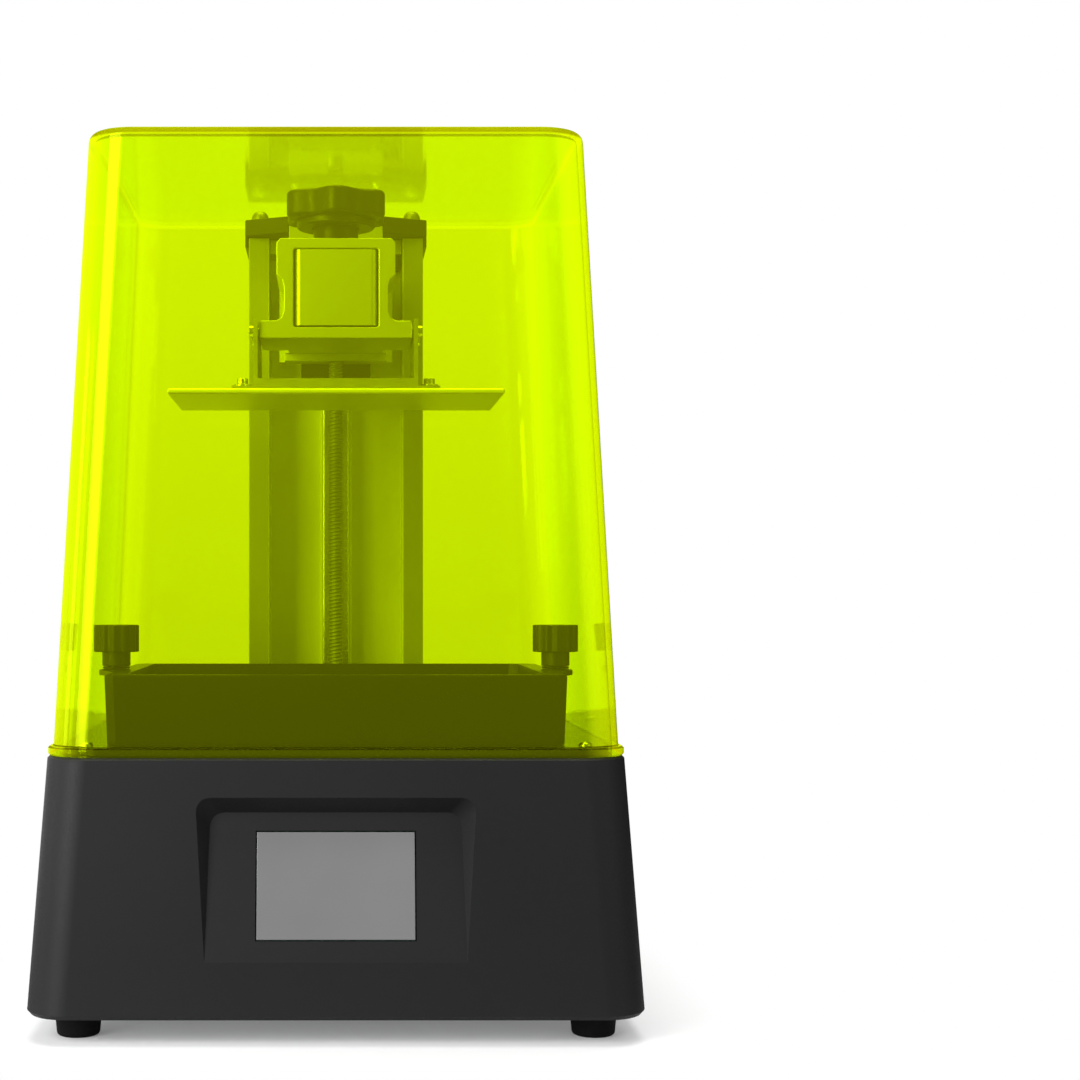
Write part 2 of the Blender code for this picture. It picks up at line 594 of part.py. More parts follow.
def make_platform(skins, lift):
    grey = skins["aluminium"]
    half = [(BLOCK_HALF_W, BLOCK_Z0), (BLOCK_HALF_W, BLOCK_Z1 - 1)]
    half += [(BLOCK_HALF_W - 1, BLOCK_Z1), (30.0, BLOCK_Z1), (27.5, 346.4), (26.1, 350)]
    half += [(26.1, 362), (27.0, 365.5), (29.8, 368), (29.8, HANGER_Z1 - 2), (27.8, HANGER_Z1)]
    hanger = prism_y("platform_hanger", mirrored(half), HANGER_Y0, HANGER_Y1, grey)
    window = rounded_rect(2 * WINDOW_HALF, WINDOW_Z1 - WINDOW_Z0, 0.8, 1, (0, (WINDOW_Z0 + WINDOW_Z1) / 2))
    axis = (0, PRINT_Y)
    join(hanger, rod("boss", BOSS_R, axis, HANGER_Z1 - 2, BOSS_Z1, grey, 32))
    cut(hanger, prism_y("window", window, HANGER_Y0 - 5, HANGER_Y1 + 5, grey),
        rod("pocket", 7.3, axis, WINDOW_Z1 - 2, 391, grey), rod("bore", 4.3, axis, 390, BOSS_Z1 + 3, grey))

    pad = rod("clamp_pad", 6.9, axis, WINDOW_Z1 - 0.1, 384, skins["steel"])
    knob = prism("platform_knob", lobes(25.1, 2.6, 6, axis, 72, math.pi / 2), 399.0, KNOB_Z1, skins["knob"])
    bevel(knob, 1.6, 2, 60)
    hub = rod("hub", 20, axis, 395.4, 400.5, skins["knob"], 32)
    join(knob, hub)
    cut(knob, rod("socket", BOSS_R + 0.6, axis, 394, BOSS_Z1 + GAP, skins["knob"], 32))
    join(knob, rod("stud", 4.0, axis, 384.3, 402, skins["knob"]))

    bracket_half = [(FLANGE_HALF_W - 1, BRACKET_Z0), (FLANGE_HALF_W, BRACKET_Z0 + 1),
                    (FLANGE_HALF_W, FLANGE_Z1), (BRACKET_OUTER, FLANGE_Z1), (BRACKET_OUTER, BRACKET_Z1),
                    (BRACKET_INNER, BRACKET_Z1), (BRACKET_INNER, BRACKET_BASE_Z1)]
    bracket = prism_y("platform_bracket", mirrored(bracket_half), -69, -13, skins["steel"])
    plate = box("build_plate", -PLATE_W / 2, PLATE_W / 2, PRINT_Y - PLATE_D / 2, PRINT_Y + PLATE_D / 2,
                PLATE_Z0, PLATE_Z1, skins["plate"])
    bevel(plate, 0.8)
    screws = []
    for side, word_x in ((-1, "left"), (1, "right")):
        for y, word_y in ((PRINT_Y - 17, "front"), (PRINT_Y + 17, "rear")):
            steel, seat_z, place = skins["steel"], FLANGE_Z1 + GAP, (side * PLATE_SCREW_X, y)
            cut(bracket, rod("hole", 2.3, place, BRACKET_Z0 - 4, BRACKET_BASE_Z1 + 4, steel, 16),
                rod_x("hole", 2.6, side * 36, side * 44, y, LEVEL_Z, steel, 16))
            cut(plate, rod("hole", 2.3, place, PLATE_Z1 - 2.0, PLATE_Z1 + 4, skins["plate"], 16))
            fixing = rod(f"plate_screw_{word_y}_{word_x}", 2.8, place, seat_z + 1.1, seat_z + 4.2, steel, 16)
            join(fixing, rod("washer", 4.6, place, seat_z, seat_z + 1.2, steel, 16),
                 rod("shank", 2.0, place, PLATE_Z1 - 1.5, seat_z + 0.2, steel, 16))
            level_name = f"level_screw_{word_y}_{word_x}"
            head = rod_x(level_name, 3.0, side * 41.3, side * 43.7, y, LEVEL_Z, steel, 16)
            join(head, rod_x("shank", 2.0, side * 38.5, side * 42.0, y, LEVEL_Z, steel, 16))
            screws += [fixing, head]

    release = joint("platform_slide", (0, PRINT_Y, WINDOW_Z0), lift)
    hang(release, hanger)
    pressed = joint("clamp_axis", (0, PRINT_Y, WINDOW_Z1), release)
    hang(pressed, pad)
    turn = joint("knob_axis", (0, PRINT_Y, BOSS_Z1), pressed)
    hang(turn, knob)
    level = joint("level_axis", (0, PRINT_Y, LEVEL_Z), release)
    hang(level, bracket, plate, *screws)
    for thing in (pad, knob, hanger, *screws):
        soften(thing)


# ---------------------------------------------------------------- vat and cover

def make_vat(skins):
    black = skins["vat"]
    middle_y = (VAT_Y0 + VAT_Y1) / 2

    def plan(inset, side_inset=None):
        width = 2 * (VAT_HALF_W - (inset if side_inset is None else side_inset))
        depth = VAT_Y1 - VAT_Y0 - 2 * inset
        return rounded_rect(width, depth, VAT_CHAMFER, 1, (0, middle_y))

    rings = [at_height(plan(1.2), VAT_Z0), at_height(plan(0), VAT_Z1 - 1.0), at_height(plan(0.5), VAT_Z1)]
    vat = solid("vat_body", rings, black)
    for side in (-1, 1):
        shoulder = VAT_WING_X - 4
        wing_plan = [(104, -104), (shoulder, -66), (VAT_WING_X, -55), (VAT_WING_X, -27),
                     (shoulder, -16), (104, 22)]
        outline = [(side * x, y) for x, y in wing_plan]
        join(vat, prism("wing", outline[::side], VAT_Z1 - 2.6, VAT_Z1, black))
    floor_z = 146.0
    bowl_rings = [at_height(plan(VAT_WALL + 4, 12.5), floor_z), at_height(plan(VAT_WALL, 9.6), VAT_Z1 + 2)]
    bowl = solid("bowl", bowl_rings, black)
    under = prism("under", rounded_rect(206, 134, 4, 2, (0, PRINT_Y)), VAT_Z0 - 2, 142, black)
    opening = prism("opening", rounded_rect(190, 112, 6, 3, (0, PRINT_Y)), 140, 150, black)
    holes = [rod("hole", 3.4, (side * THUMB_X, PRINT_Y), VAT_Z0 + 20, VAT_Z1 + 2, black) for side in (-1, 1)]
    cut(vat, bowl, under, opening, *holes)

    film_plan = rounded_rect(205, 133, 4, 2, (0, PRINT_Y))
    film = prism("release_film", film_plan, FILM_Z, FILM_Z + FILM_T, skins["film"])
    frame = prism("film_clamp_frame", film_plan, FILM_Z + FILM_T + GAP, 141.7, skins["steel"])
    cut(frame, prism("opening", rounded_rect(191, 113, 6, 3, (0, PRINT_Y)), 136, 145, skins["steel"]))

    lift = joint("vat_slide", (0, middle_y, VAT_Z0))
    hang(lift, vat, film, frame)
    for side, word in ((-1, "left"), (1, "right")):
        axis = (side * THUMB_X, PRINT_Y)
        washer_z = VAT_Z1 + GAP
        collar_z = washer_z + WASHER_T + GAP
        washer = rod(f"thumb_washer_{word}", WASHER_R, axis, washer_z, washer_z + WASHER_T, skins["steel"])
        cut(washer, rod("bore", 3.4, axis, 165, 175, skins["steel"]))
        thumb = rod(f"thumb_screw_{word}", 7.2, axis, collar_z, 179.5, skins["knob"])
        head = prism("head", lobes(11.1, 0.5, 12, axis, 72), 178.7, 192.5, skins["knob"])
        join(thumb, head, rod("shank", 3.0, axis, 128, collar_z + 1, skins["knob"]))
        rise = joint(f"thumb_rise_{word}", (*axis, washer_z), lift)
        hang(rise, washer)
        spin = joint(f"thumb_axis_{word}", (*axis, collar_z), rise)
        hang(spin, thumb)
        soften(thumb)
        soften(washer)
    soften(vat)


def make_cover(skins):
    foot_z = BASE_Z1 + GAP
    wall_z = foot_z + FLANGE_T
    slope = (COVER_FOOT_W - COVER_TOP_W) / (COVER_TOP_Z - wall_z)

    def ring(z, inset=0.0, width=None):
        side = (width or COVER_FOOT_W - slope * (z - wall_z)) - 2 * inset
        return at_height(rounded_rect(side, side, PLAN_RADIUS - inset / 2, 6), z)

    flange_w = BASE_TOP_W - 0.4
    outer = [ring(foot_z, 0, flange_w), ring(wall_z - 0.6, 0, flange_w), ring(wall_z, 0.6, flange_w),
             ring(wall_z), ring(COVER_TOP_Z - 3.5), ring(COVER_TOP_Z - 1.1, 1.0), ring(COVER_TOP_Z, 3.4)]
    inner = [ring(foot_z, COVER_WALL, COVER_FOOT_W), ring(wall_z, COVER_WALL),
             ring(COVER_TOP_Z - 5.5, COVER_WALL), ring(COVER_TOP_Z - COVER_WALL, COVER_WALL + 2.5)]
    cover = solid("cover", outer, skins["cover"], inner)
    lift = joint("cover_slide", (0, 0, foot_z))
    hang(lift, cover)
    soften(cover)


def make_rocker(skins):
    """Rocker that stands out at its lower edge when the switch is off."""
    y = base_width(SWITCH_Z) / 2
    pivot = (SWITCH_X, y - 1.5, SWITCH_Z)
    side = [(y - 4.0, -5.4), (y - 4.0, 5.4), (y + 1.4, 5.4), (y + 0.2, 0), (y + 1.4, -5.4)]
    ends = (SWITCH_X - 8.2, SWITCH_X + 8.2)
    rings = [[(x, depth, SWITCH_Z + rise) for depth, rise in side] for x in ends]
    rocker = solid("power_rocker", rings, skins["knob"])
    turned(rocker, ROCKER_SWING / 2, "X", pivot)
    on_rear(rocker, SWITCH_Z)
    lean = Matrix.Rotation(SLOPE, 4, "X")
    hinge_line = Vector((0, base_width(SWITCH_Z) / 2, SWITCH_Z))
    place = hinge_line + lean @ (Vector(pivot) - hinge_line)
    rocker_joint = joint("rocker_axis", place)
    hang(rocker_joint, rocker)


def main():
    clear_scene()
    skins = {
        "housing": material("housing_paint", (0.028, 0.028, 0.030), 0.55),
        "steel_dark": material("zinc_steel", (0.30, 0.30, 0.31), 0.45, 0.9),
        "rubber": material("rubber", (0.015, 0.015, 0.015), 0.8),
        "screen": material("touch_glass", (0.23, 0.23, 0.24), 0.15),
        "board": material("circuit_board", (0.02, 0.12, 0.06), 0.5),
        "plastic": material("black_plastic", (0.02, 0.02, 0.02), 0.5),
        "steel": material("steel", (0.55, 0.55, 0.56), 0.3, 1.0),
        "lcd": material("lcd_glass", (0.03, 0.03, 0.05), 0.1),
        "lens": material("lens", (0.8, 0.85, 0.9), 0.1, 0.0, 0.4),
        "aluminium": material("aluminium", (0.62, 0.63, 0.65), 0.35, 1.0),
        "motor": material("motor_steel", (0.08, 0.08, 0.09), 0.4, 0.8),
        "brass": material("brass", (0.75, 0.55, 0.22), 0.3, 1.0),
        "knob": material("knob_plastic", (0.02, 0.02, 0.02), 0.45),
        "plate": material("sanded_plate", (0.58, 0.59, 0.60), 0.5, 1.0),
        "vat": material("vat_plastic", (0.02, 0.02, 0.02), 0.4),
        "film": material("release_film", (0.85, 0.88, 0.9), 0.1, 0.0, 0.35),
        "cover": material("cover_acrylic", (0.55, 0.86, 0.0), 0.05, 0.0, 0.4),
    }
    make_housing(skins)
    make_rear_parts(skins)
    make_rocker(skins)
    make_light_engine(skins)
    lift = make_z_axis(skins)
    make_platform(skins, lift)
    make_vat(skins)
    make_cover(skins)
    bpy.context.view_layer.update()


main()
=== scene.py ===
import json
import math

import bmesh
import bpy
from mathutils import Matrix, Vector

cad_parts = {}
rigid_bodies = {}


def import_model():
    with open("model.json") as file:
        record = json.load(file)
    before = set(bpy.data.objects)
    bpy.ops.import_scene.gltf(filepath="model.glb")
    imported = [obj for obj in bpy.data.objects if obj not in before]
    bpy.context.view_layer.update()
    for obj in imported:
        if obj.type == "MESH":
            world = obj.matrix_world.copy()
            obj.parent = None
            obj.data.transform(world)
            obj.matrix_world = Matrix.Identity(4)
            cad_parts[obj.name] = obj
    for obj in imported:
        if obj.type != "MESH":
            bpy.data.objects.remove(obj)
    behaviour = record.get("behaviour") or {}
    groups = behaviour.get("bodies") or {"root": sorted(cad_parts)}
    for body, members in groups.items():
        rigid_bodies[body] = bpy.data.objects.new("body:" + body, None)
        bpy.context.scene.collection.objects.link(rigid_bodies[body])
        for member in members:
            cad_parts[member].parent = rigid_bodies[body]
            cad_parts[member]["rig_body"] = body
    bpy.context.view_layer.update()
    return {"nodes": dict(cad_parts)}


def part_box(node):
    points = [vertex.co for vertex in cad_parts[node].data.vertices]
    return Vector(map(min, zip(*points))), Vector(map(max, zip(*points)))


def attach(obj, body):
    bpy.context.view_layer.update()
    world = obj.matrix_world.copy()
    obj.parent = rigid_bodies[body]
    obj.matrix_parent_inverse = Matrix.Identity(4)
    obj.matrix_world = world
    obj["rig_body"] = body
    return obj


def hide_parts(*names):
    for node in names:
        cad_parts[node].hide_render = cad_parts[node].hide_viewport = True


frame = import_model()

# A resin printer: a tapered powder-coated base, a lift-off fluorescent cover, and the Z axis,
# build platform and resin vat that stand on its deck. Lengths are in millimetres unless a comment says m.

MM = 0.001
scene = bpy.context.scene
nodes = frame["nodes"]

PRINT_Y = -41.0                   # middle of the screen, vat and build plate
SCREW_Y = 50.0                    # axis of the lead screw
SMOOTH = math.radians(32)         # edges sharper than this stay sharp
FLAT = math.radians(0.6)          # neighbouring faces that differ by less than this become one
WELD = 1e-6                       # m, points closer than this become one
ROUND_SIDES, GRIP_SIDES = 48, 144 # facets round a shaft or a hub, and round a lobed grip


def extent(node):
    """A CAD node's lowest and highest corner, in mm."""
    low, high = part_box(node)
    return low / MM, high / MM


# ---------------------------------------------------------------- camera, stage and lights

CAMERA_AWAY, CAMERA_HEIGHT = 1.035, 0.2072      # m from the middle of the base, and above the floor

camera = bpy.data.objects.new("camera", bpy.data.cameras.new("camera"))
camera.location = (0, -CAMERA_AWAY, CAMERA_HEIGHT)
camera.rotation_euler = (math.radians(90), 0, 0)
camera.data.lens = 64.63
camera.data.shift_x = 0.189
camera.data.shift_y = 0.052
camera.data.clip_start = 0.01
scene.collection.objects.link(camera)
scene.camera = camera
scene.view_settings.view_transform = "Standard"


def linear(code):
    """An sRGB hex colour as the linear red, green, blue and alpha that Blender works in."""
    parts = [int(code[i:i + 2], 16) / 255 for i in (0, 2, 4)]
    return [c / 12.92 if c <= 0.04045 else ((c + 0.055) / 1.055) ** 2.4 for c in parts] + [1.0]


def node(tree, kind, inputs=None, **settings):
    """Adds a node. Settings are its properties; inputs are values, or sockets that feed it."""
    made = tree.nodes.new(kind)
    for name, value in settings.items():
        setattr(made, name, value)
    for key, value in (inputs or {}).items():
        if isinstance(value, bpy.types.NodeSocket):
            tree.links.new(value, made.inputs[key])
        else:
            made.inputs[key].default_value = value
    return made


def as_mesh(bm, name):
    """The finished mesh of a bmesh, which is freed."""
    mesh = bpy.data.meshes.new(name)
    bm.to_mesh(mesh)
    bm.free()
    return mesh


def blank(name):
    """A material with an empty tree, and its output node."""
    made = bpy.data.materials.new(name)
    made.use_nodes = True
    made.node_tree.nodes.clear()
    return made, made.node_tree, node(made.node_tree, "ShaderNodeOutputMaterial")


# Places and sizes of the studio are in metres.
FLOOR_R = 6.0
FLOOR_FADE = (0.13, 0.19)         # from the lit floor out to plain white
ROOM_LIGHT = 0.3                  # the white surround as a lamp; the camera sees it at 1
FLAG_EDGE = 0.17                  # the flag starts this far to the right for each metre of depth
FLAG_BLUR = 0.05                  # and is black this much further on
FAR_SIDE = (0.05, 0.4)            # depth over which the mirrored room rises to white
NEAR_GLOW = 0.15                  # share of plain white already in the lit floor


def maths(tree, operation, *terms, **settings):
    """The result of one sum; each term is a number or a socket."""
    return node(tree, "ShaderNodeMath", dict(enumerate(terms)), operation=operation, **settings).outputs[0]


def ramp(tree, value, start, end, low=0.0, high=1.0, **settings):
    """`value` taken from the span start..end to low..high, and held there outside it."""
    spans = {"Value": value, "From Min": start, "From Max": end, "To Min": low, "To Max": high}
    return node(tree, "ShaderNodeMapRange", spans, **settings).outputs[0]


def room_level(tree, across, depth):
    """Full white where the camera sees the room and where gloss mirrors its far side, and dimmer as a lamp.
    A black flag stands to the right, out of view, so that clear right-hand edges show as a dark line."""
    ray = node(tree, "ShaderNodeLightPath").outputs
    flagged = ramp(tree, maths(tree, "MULTIPLY_ADD", depth, -FLAG_EDGE, across), 0.0, FLAG_BLUR)
    mirrored = maths(tree, "MULTIPLY", ray["Is Glossy Ray"], ramp(tree, depth, *FAR_SIDE))
    shown = maths(tree, "MAXIMUM", ray["Is Camera Ray"], mirrored)
    open_share = maths(tree, "SUBTRACT", 1.0, maths(tree, "MULTIPLY", mirrored, flagged))
    return maths(tree, "MULTIPLY", ramp(tree, shown, 0.0, 1.0, ROOM_LIGHT), open_share)


def make_stage():
    """A white floor that runs out to a white surround, so that nothing shows behind the clear cover."""
    made, tree, out = blank("studio_paper")
    place = node(tree, "ShaderNodeTexCoord").outputs["Object"]
    across, depth, _ = node(tree, "ShaderNodeSeparateXYZ", {0: place}).outputs
    away = maths(tree, "MAXIMUM", maths(tree, "ABSOLUTE", across), maths(tree, "ABSOLUTE", depth))
    far = ramp(tree, away, *FLOOR_FADE, NEAR_GLOW)
    paper = node(tree, "ShaderNodeBsdfDiffuse", {"Color": linear("F4F4F4")}).outputs[0]
    glow = node(tree, "ShaderNodeEmission", {"Strength": room_level(tree, across, depth)})
    mixed = node(tree, "ShaderNodeMixShader", {0: far, 1: paper, 2: glow.outputs[0]})
    tree.links.new(mixed.outputs[0], out.inputs[0])
    bm = bmesh.new()
    bmesh.ops.create_circle(bm, cap_ends=True, segments=96, radius=FLOOR_R)
    mesh = as_mesh(bm, "studio_floor")
    mesh.materials.append(made)
    floor = bpy.data.objects.new("studio_floor", mesh)
    scene.collection.objects.link(floor)

    world = bpy.data.worlds.new("studio")
    world.use_nodes = True
    tree = world.node_tree
    tree.nodes.clear()
    way = node(tree, "ShaderNodeTexCoord").outputs["Generated"]
    across, depth, _ = node(tree, "ShaderNodeSeparateXYZ", {0: way}).outputs
    sky = node(tree, "ShaderNodeBackground", {"Color": linear("FFFFFF"),
                                              "Strength": room_level(tree, across, depth)})
    node(tree, "ShaderNodeOutputWorld", {0: sky.outputs[0]})
    scene.world = world


def softbox(name, place, target, size, watts, mirrored=True):
    """A flat rectangular lamp at `place`, turned to `target`, that the camera doesn't see."""
    data = bpy.data.lights.new(name, "AREA")
    data.shape = "RECTANGLE"
    data.size, data.size_y = size
    data.energy = watts
    light = bpy.data.objects.new(name, data)
    light.location = place
    light.rotation_euler = (Vector(target) - Vector(place)).to_track_quat("-Z", "Y").to_euler()
    light.visible_camera = False
    light.visible_glossy = mirrored
    scene.collection.objects.link(light)


make_stage()
MIDDLE = (0, 0, 0.2)              # m; each lamp is then given its place, target, size and watts
softbox("key_softbox", (-1.1, -1.25, 0.8), MIDDLE, (0.8, 1.5), 37)
softbox("fill_softbox", (1.4, -0.9, 0.6), MIDDLE, (1.0, 1.0), 3.0)
softbox("side_softbox", (-1.5, -0.15, 0.35), (0, 0, 0.1), (0.35, 0.6), 3.5)
softbox("top_softbox", (0, 0.05, 1.6), MIDDLE, (1.1, 1.1), 22)
softbox("rear_softbox", (0.5, 1.4, 0.9), MIDDLE, (1.0, 1.0), 10, mirrored=False)


# ---------------------------------------------------------------- materials

MIX_A, MIX_B, MIX_COLOUR = 6, 7, 2     # sockets of the Mix node when it mixes colours


def pattern(tree, size, detail, stretch=(1, 1, 1)):
    """Noise on the piece's own coordinates, in blotches `size` mm wide that are drawn out by `stretch`."""
    place = node(tree, "ShaderNodeTexCoord").outputs["Object"]
    scale = [1 / (size * MM * pull) for pull in stretch]
    mapped = node(tree, "ShaderNodeMapping", {"Vector": place, "Scale": scale}).outputs[0]
    return node(tree, "ShaderNodeTexNoise", {"Vector": mapped, "Scale": 1.0, "Detail": detail}).outputs[0]


GRIT_SPAN = (0.3, 0.7)            # noise keeps mostly between these


def finish(name, colour, shade, rough, metal=0.0, mottle=40.0, grain=0.8, relief=0.01, stretch=(1, 1, 1),
           **more):
    """A surface whose colour drifts from `colour` to `shade` over patches `mottle` mm wide, with a grain
    `grain` mm wide that moves its roughness between the two of `rough` and lifts it by `relief` mm."""
    made, tree, out = blank(name)
    patches = pattern(tree, mottle, 3.0)
    mixed = node(tree, "ShaderNodeMix", {0: patches, MIX_A: linear(colour), MIX_B: linear(shade)},
                 data_type="RGBA")
    grit = pattern(tree, grain, 2.0, stretch)
    lifted = node(tree, "ShaderNodeBump", {"Height": grit, "Distance": relief * MM, "Strength": 1.0})
    inputs = {"Base Color": mixed.outputs[MIX_COLOUR], "Roughness": ramp(tree, grit, *GRIT_SPAN, *rough),
              "Metallic": metal, "Normal": lifted.outputs[0], **more}
    tree.links.new(node(tree, "ShaderNodeBsdfPrincipled", inputs).outputs[0], out.inputs[0])
    return made


# Powder-coated sheet steel: a matt charcoal skin with the faint orange peel of baked powder, drawn 1.1 mm
# wide, and a slow drift in depth that stops the broad faces from looking flat.
POWDER_COAT = finish("powder_coated_steel", "1B1B1C", "202021", (0.44, 0.58), mottle=70, grain=1.1,
                     relief=0.016, **{"Specular IOR Level": 0.22})
# Zinc-plated sheet: cool grey, with the cloudy spangle of the bath and fine rolling lines along X.
ZINC_SHEET = finish("zinc_plated_sheet", "B4B6B8", "C6C8CA", (0.3, 0.5), 1.0, mottle=9, grain=0.5,
                    relief=0.004, stretch=(18, 1, 1))
# The deck has the same powder under a satin lacquer, so that at a low angle it mirrors the cover's walls.
SATIN_DECK = finish("satin_powder_coated_deck", "1C1C1D", "222223", (0.2, 0.3), mottle=70, grain=1.1,
                    relief=0.003)
# Black-oxide steel: brown-black and half shiny, with turning lines, as on washers and the clamp's boss.
BLACK_OXIDE = finish("black_oxide_steel", "1A1918", "24221F", (0.28, 0.42), 0.6, mottle=5, grain=0.3,
                     relief=0.003, stretch=(1, 1, 0.3))
# Moulded rubber: near-black and matt, with a soft tooth that breaks up the light on the curved side.
RUBBER = finish("moulded_rubber", "080808", "0D0D0D", (0.72, 0.88), mottle=12, grain=0.35, relief=0.02,
                **{"Specular IOR Level": 0.15})
# Moulded ABS with a spark-eroded tool finish: a fine even tooth, 0.5 mm, that spreads each highlight.
BLACK_ABS = finish("textured_black_abs", "161616", "1C1C1C", (0.46, 0.6), mottle=30, grain=0.5, relief=0.014)
# Glass-filled nylon of the hand knobs: a little greyer and shinier, with flow marks from the gate.
KNOB_NYLON = finish("moulded_nylon_knob", "1B1B1C", "252526", (0.34, 0.5), mottle=14, grain=0.7, relief=0.012)
# Ground and plated steel: bright, with close turning lines round the axis read as a fine streak along X.
BRIGHT_STEEL = finish("ground_steel", "B9BABD", "C9CACC", (0.16, 0.3), 1.0, mottle=12, grain=0.25,
                      relief=0.002, stretch=(10, 1, 1))
# Bead-blasted, clear-anodised aluminium: a silky pale grey with a 0.4 mm frosting and soft cloudy drift.
ANODISED = finish("bead_blasted_anodised_aluminium", "C6C8C9", "D2D4D5", (0.4, 0.55), 1.0, mottle=25,
                  grain=0.4, relief=0.006)
# Extruded and anodised aluminium: the same skin with die lines that run up the length of the column.
EXTRUSION = finish("extruded_anodised_aluminium", "E0E2E3", "E8EAEB", (0.38, 0.54), 0.35, mottle=20,
                   grain=0.45, relief=0.006, stretch=(1, 1, 60))
# Baked enamel over steel laminations: satin black with the edge lines of the stack, 0.5 mm apart, in relief.
LAMINATIONS = finish("enamelled_laminations", "17171A", "202024", (0.35, 0.5), 0.0, mottle=8, grain=0.5,
                     relief=0.03, stretch=(40, 40, 1))
# The lips of the same extrusion, a little duller, and painted a shade darker than the web between them:
# painted shade where the lips mirror the dark.
LIP_PAINTED_SHADE = finish("extruded_aluminium_lip", "9A9C9E", "A8AAAC", (0.45, 0.6), 0.6, mottle=20, grain=0.45,
                      relief=0.006, stretch=(1, 1, 60))
# Rolled steel thread: grey and half matt, because the flanks hold grease.
ROLLED_THREAD = finish("rolled_steel_thread", "8E9093", "9FA1A4", (0.42, 0.55), 0.8, mottle=10, grain=0.5,
                       relief=0.003)
# Turned brass: warm yellow with a fine cutter line.
BRASS = finish("turned_brass", "B8893F", "C79B55", (0.2, 0.34), 1.0, mottle=6, grain=0.2, relief=0.002,
               stretch=(1, 1, 0.2))
# Sanded aluminium plate: random fine scratches, drawn 0.35 mm wide, that give the resin a key.
SANDED = finish("sanded_aluminium_plate", "E8EAEB", "EEF0F1", (0.36, 0.55), 0.5, mottle=18, grain=0.35,
                relief=0.008, stretch=(14, 1, 1))
# Cast and painted metal of the vat: satin black with a shallow 0.6 mm tooth.
VAT_BLACK = finish("satin_black_vat", "151616", "1B1C1C", (0.26, 0.38), mottle=35, grain=0.6, relief=0.01,
                   **{"Specular IOR Level": 0.35})
# Solder mask over fibreglass: glossy deep green that lightens in small patches, where copper lies under it.
SOLDER_MASK = finish("solder_mask_board", "0C3A22", "14502F", (0.2, 0.34), mottle=4, grain=1.2, relief=0.02)
# Phosphor-topped LED package: pale yellow, waxy.
LED_PACKAGE = finish("led_package", "E3DDB0", "F2EBC4", (0.3, 0.4), mottle=2, grain=0.6, relief=0.004)
# Display glass with a grey coating under it: smooth and softly glossy, in slow broad changes of grey.
TOUCH_GLASS = finish("coated_display_glass", "6E6E6E", "868686", (0.16, 0.2), mottle=90, grain=6.0,
                     relief=0.0006)
# Masking screen: polished near-black glass with a faint violet cast from its polariser.
MASK_SCREEN = finish("polished_lcd_glass", "121117", "191822", (0.05, 0.08), mottle=60, grain=8.0,
                     relief=0.0005)

WAVE, WAVE_LIFT = 30.0, 0.02      # mm, the slow unevenness of cast and moulded sheet
GLOSS_RISE = 4.0                  # how late the gloss rises towards a grazing view


def make_clear(name, tint, gloss, rough, share):
    """A clear, thin, tinted skin: what is behind shows straight through, and `share` of gloss lies on it,
    and more where it is seen at a low angle."""
    made, tree, out = blank(name)
    facing = node(tree, "ShaderNodeLayerWeight").outputs["Facing"]
    amount = ramp(tree, maths(tree, "POWER", facing, GLOSS_RISE), 0.0, 1.0, share)
    wave = pattern(tree, WAVE, 1.0)
    lifted = node(tree, "ShaderNodeBump", {"Height": wave, "Distance": WAVE_LIFT * MM, "Strength": 1.0})
    through = node(tree, "ShaderNodeBsdfTransparent", {"Color": tint}).outputs[0]
    shine = node(tree, "ShaderNodeBsdfAnisotropic", {"Color": gloss, "Roughness": rough,
                                                     "Normal": lifted.outputs[0]}).outputs[0]
    mixed = node(tree, "ShaderNodeMixShader", {0: amount, 1: through, 2: shine})
    tree.links.new(mixed.outputs[0], out.inputs[0])
    return made, tree, mixed, out, facing, amount


# Clear film and moulded lens: almost colourless, with a soft glare where they are seen at a low angle.
FILM = make_clear("stretched_fep_film", [0.9, 0.93, 0.95, 1], [0.9, 0.9, 0.9, 1], 0.12, 0.08)[0]
LENS = make_clear("moulded_acrylic_lens", [0.88, 0.92, 0.94, 1], [0.9, 0.9, 0.9, 1], 0.05, 0.06)[0]

# Cast acrylic with a fluorescent dye: blue light is lost, and each face keeps these shares of red and green.
# Over it lies a painted glow, a yellow-green emission that rises towards the lit top and gathers in the round
# corners and inner edges. The outer top edge is seen through more dye, so it looks deeper.
DYE_TINT = [0.836, 0.914, 0.012, 1]
DYE_DEEP = [0.55, 0.5, 0.004, 1]
PAINTED_GLOW_COLOUR = [0.9, 1.0, 0.0, 1]
DYE_GLOSS = [0.86, 0.95, 0.02, 1]
PAINTED_GLOW_LOW, PAINTED_GLOW_HIGH = 0.026, 0.07
PAINTED_GLOW_RISE = (0.1, 0.46)           # m, the heights between which the painted glow rises
PAINTED_CORNER_GLOW = 0.22
PAINTED_INNER_EDGE_GLOW = 0.12
INNER_EDGE_RISE = (0.3, 0.4)      # m, only inner edges above this gather the painted glow
CORNER_TURN = (0.12, 0.45)        # X times Y of the way a face points, from a flat wall to a round corner
CORNER_FLOOR = 0.15               # share of a corner's painted glow that is seen face on
EDGE_TURN = (0.12, 0.4)           # Z of the way a face points, from a wall to a rounded edge
OUTER_FLAT, INNER_FLAT = (0.995, 0.8), (-0.99, -0.8)     # and from a level face to that edge
EDGE_DULLING = 0.92               # share of the gloss that the outer top edge loses


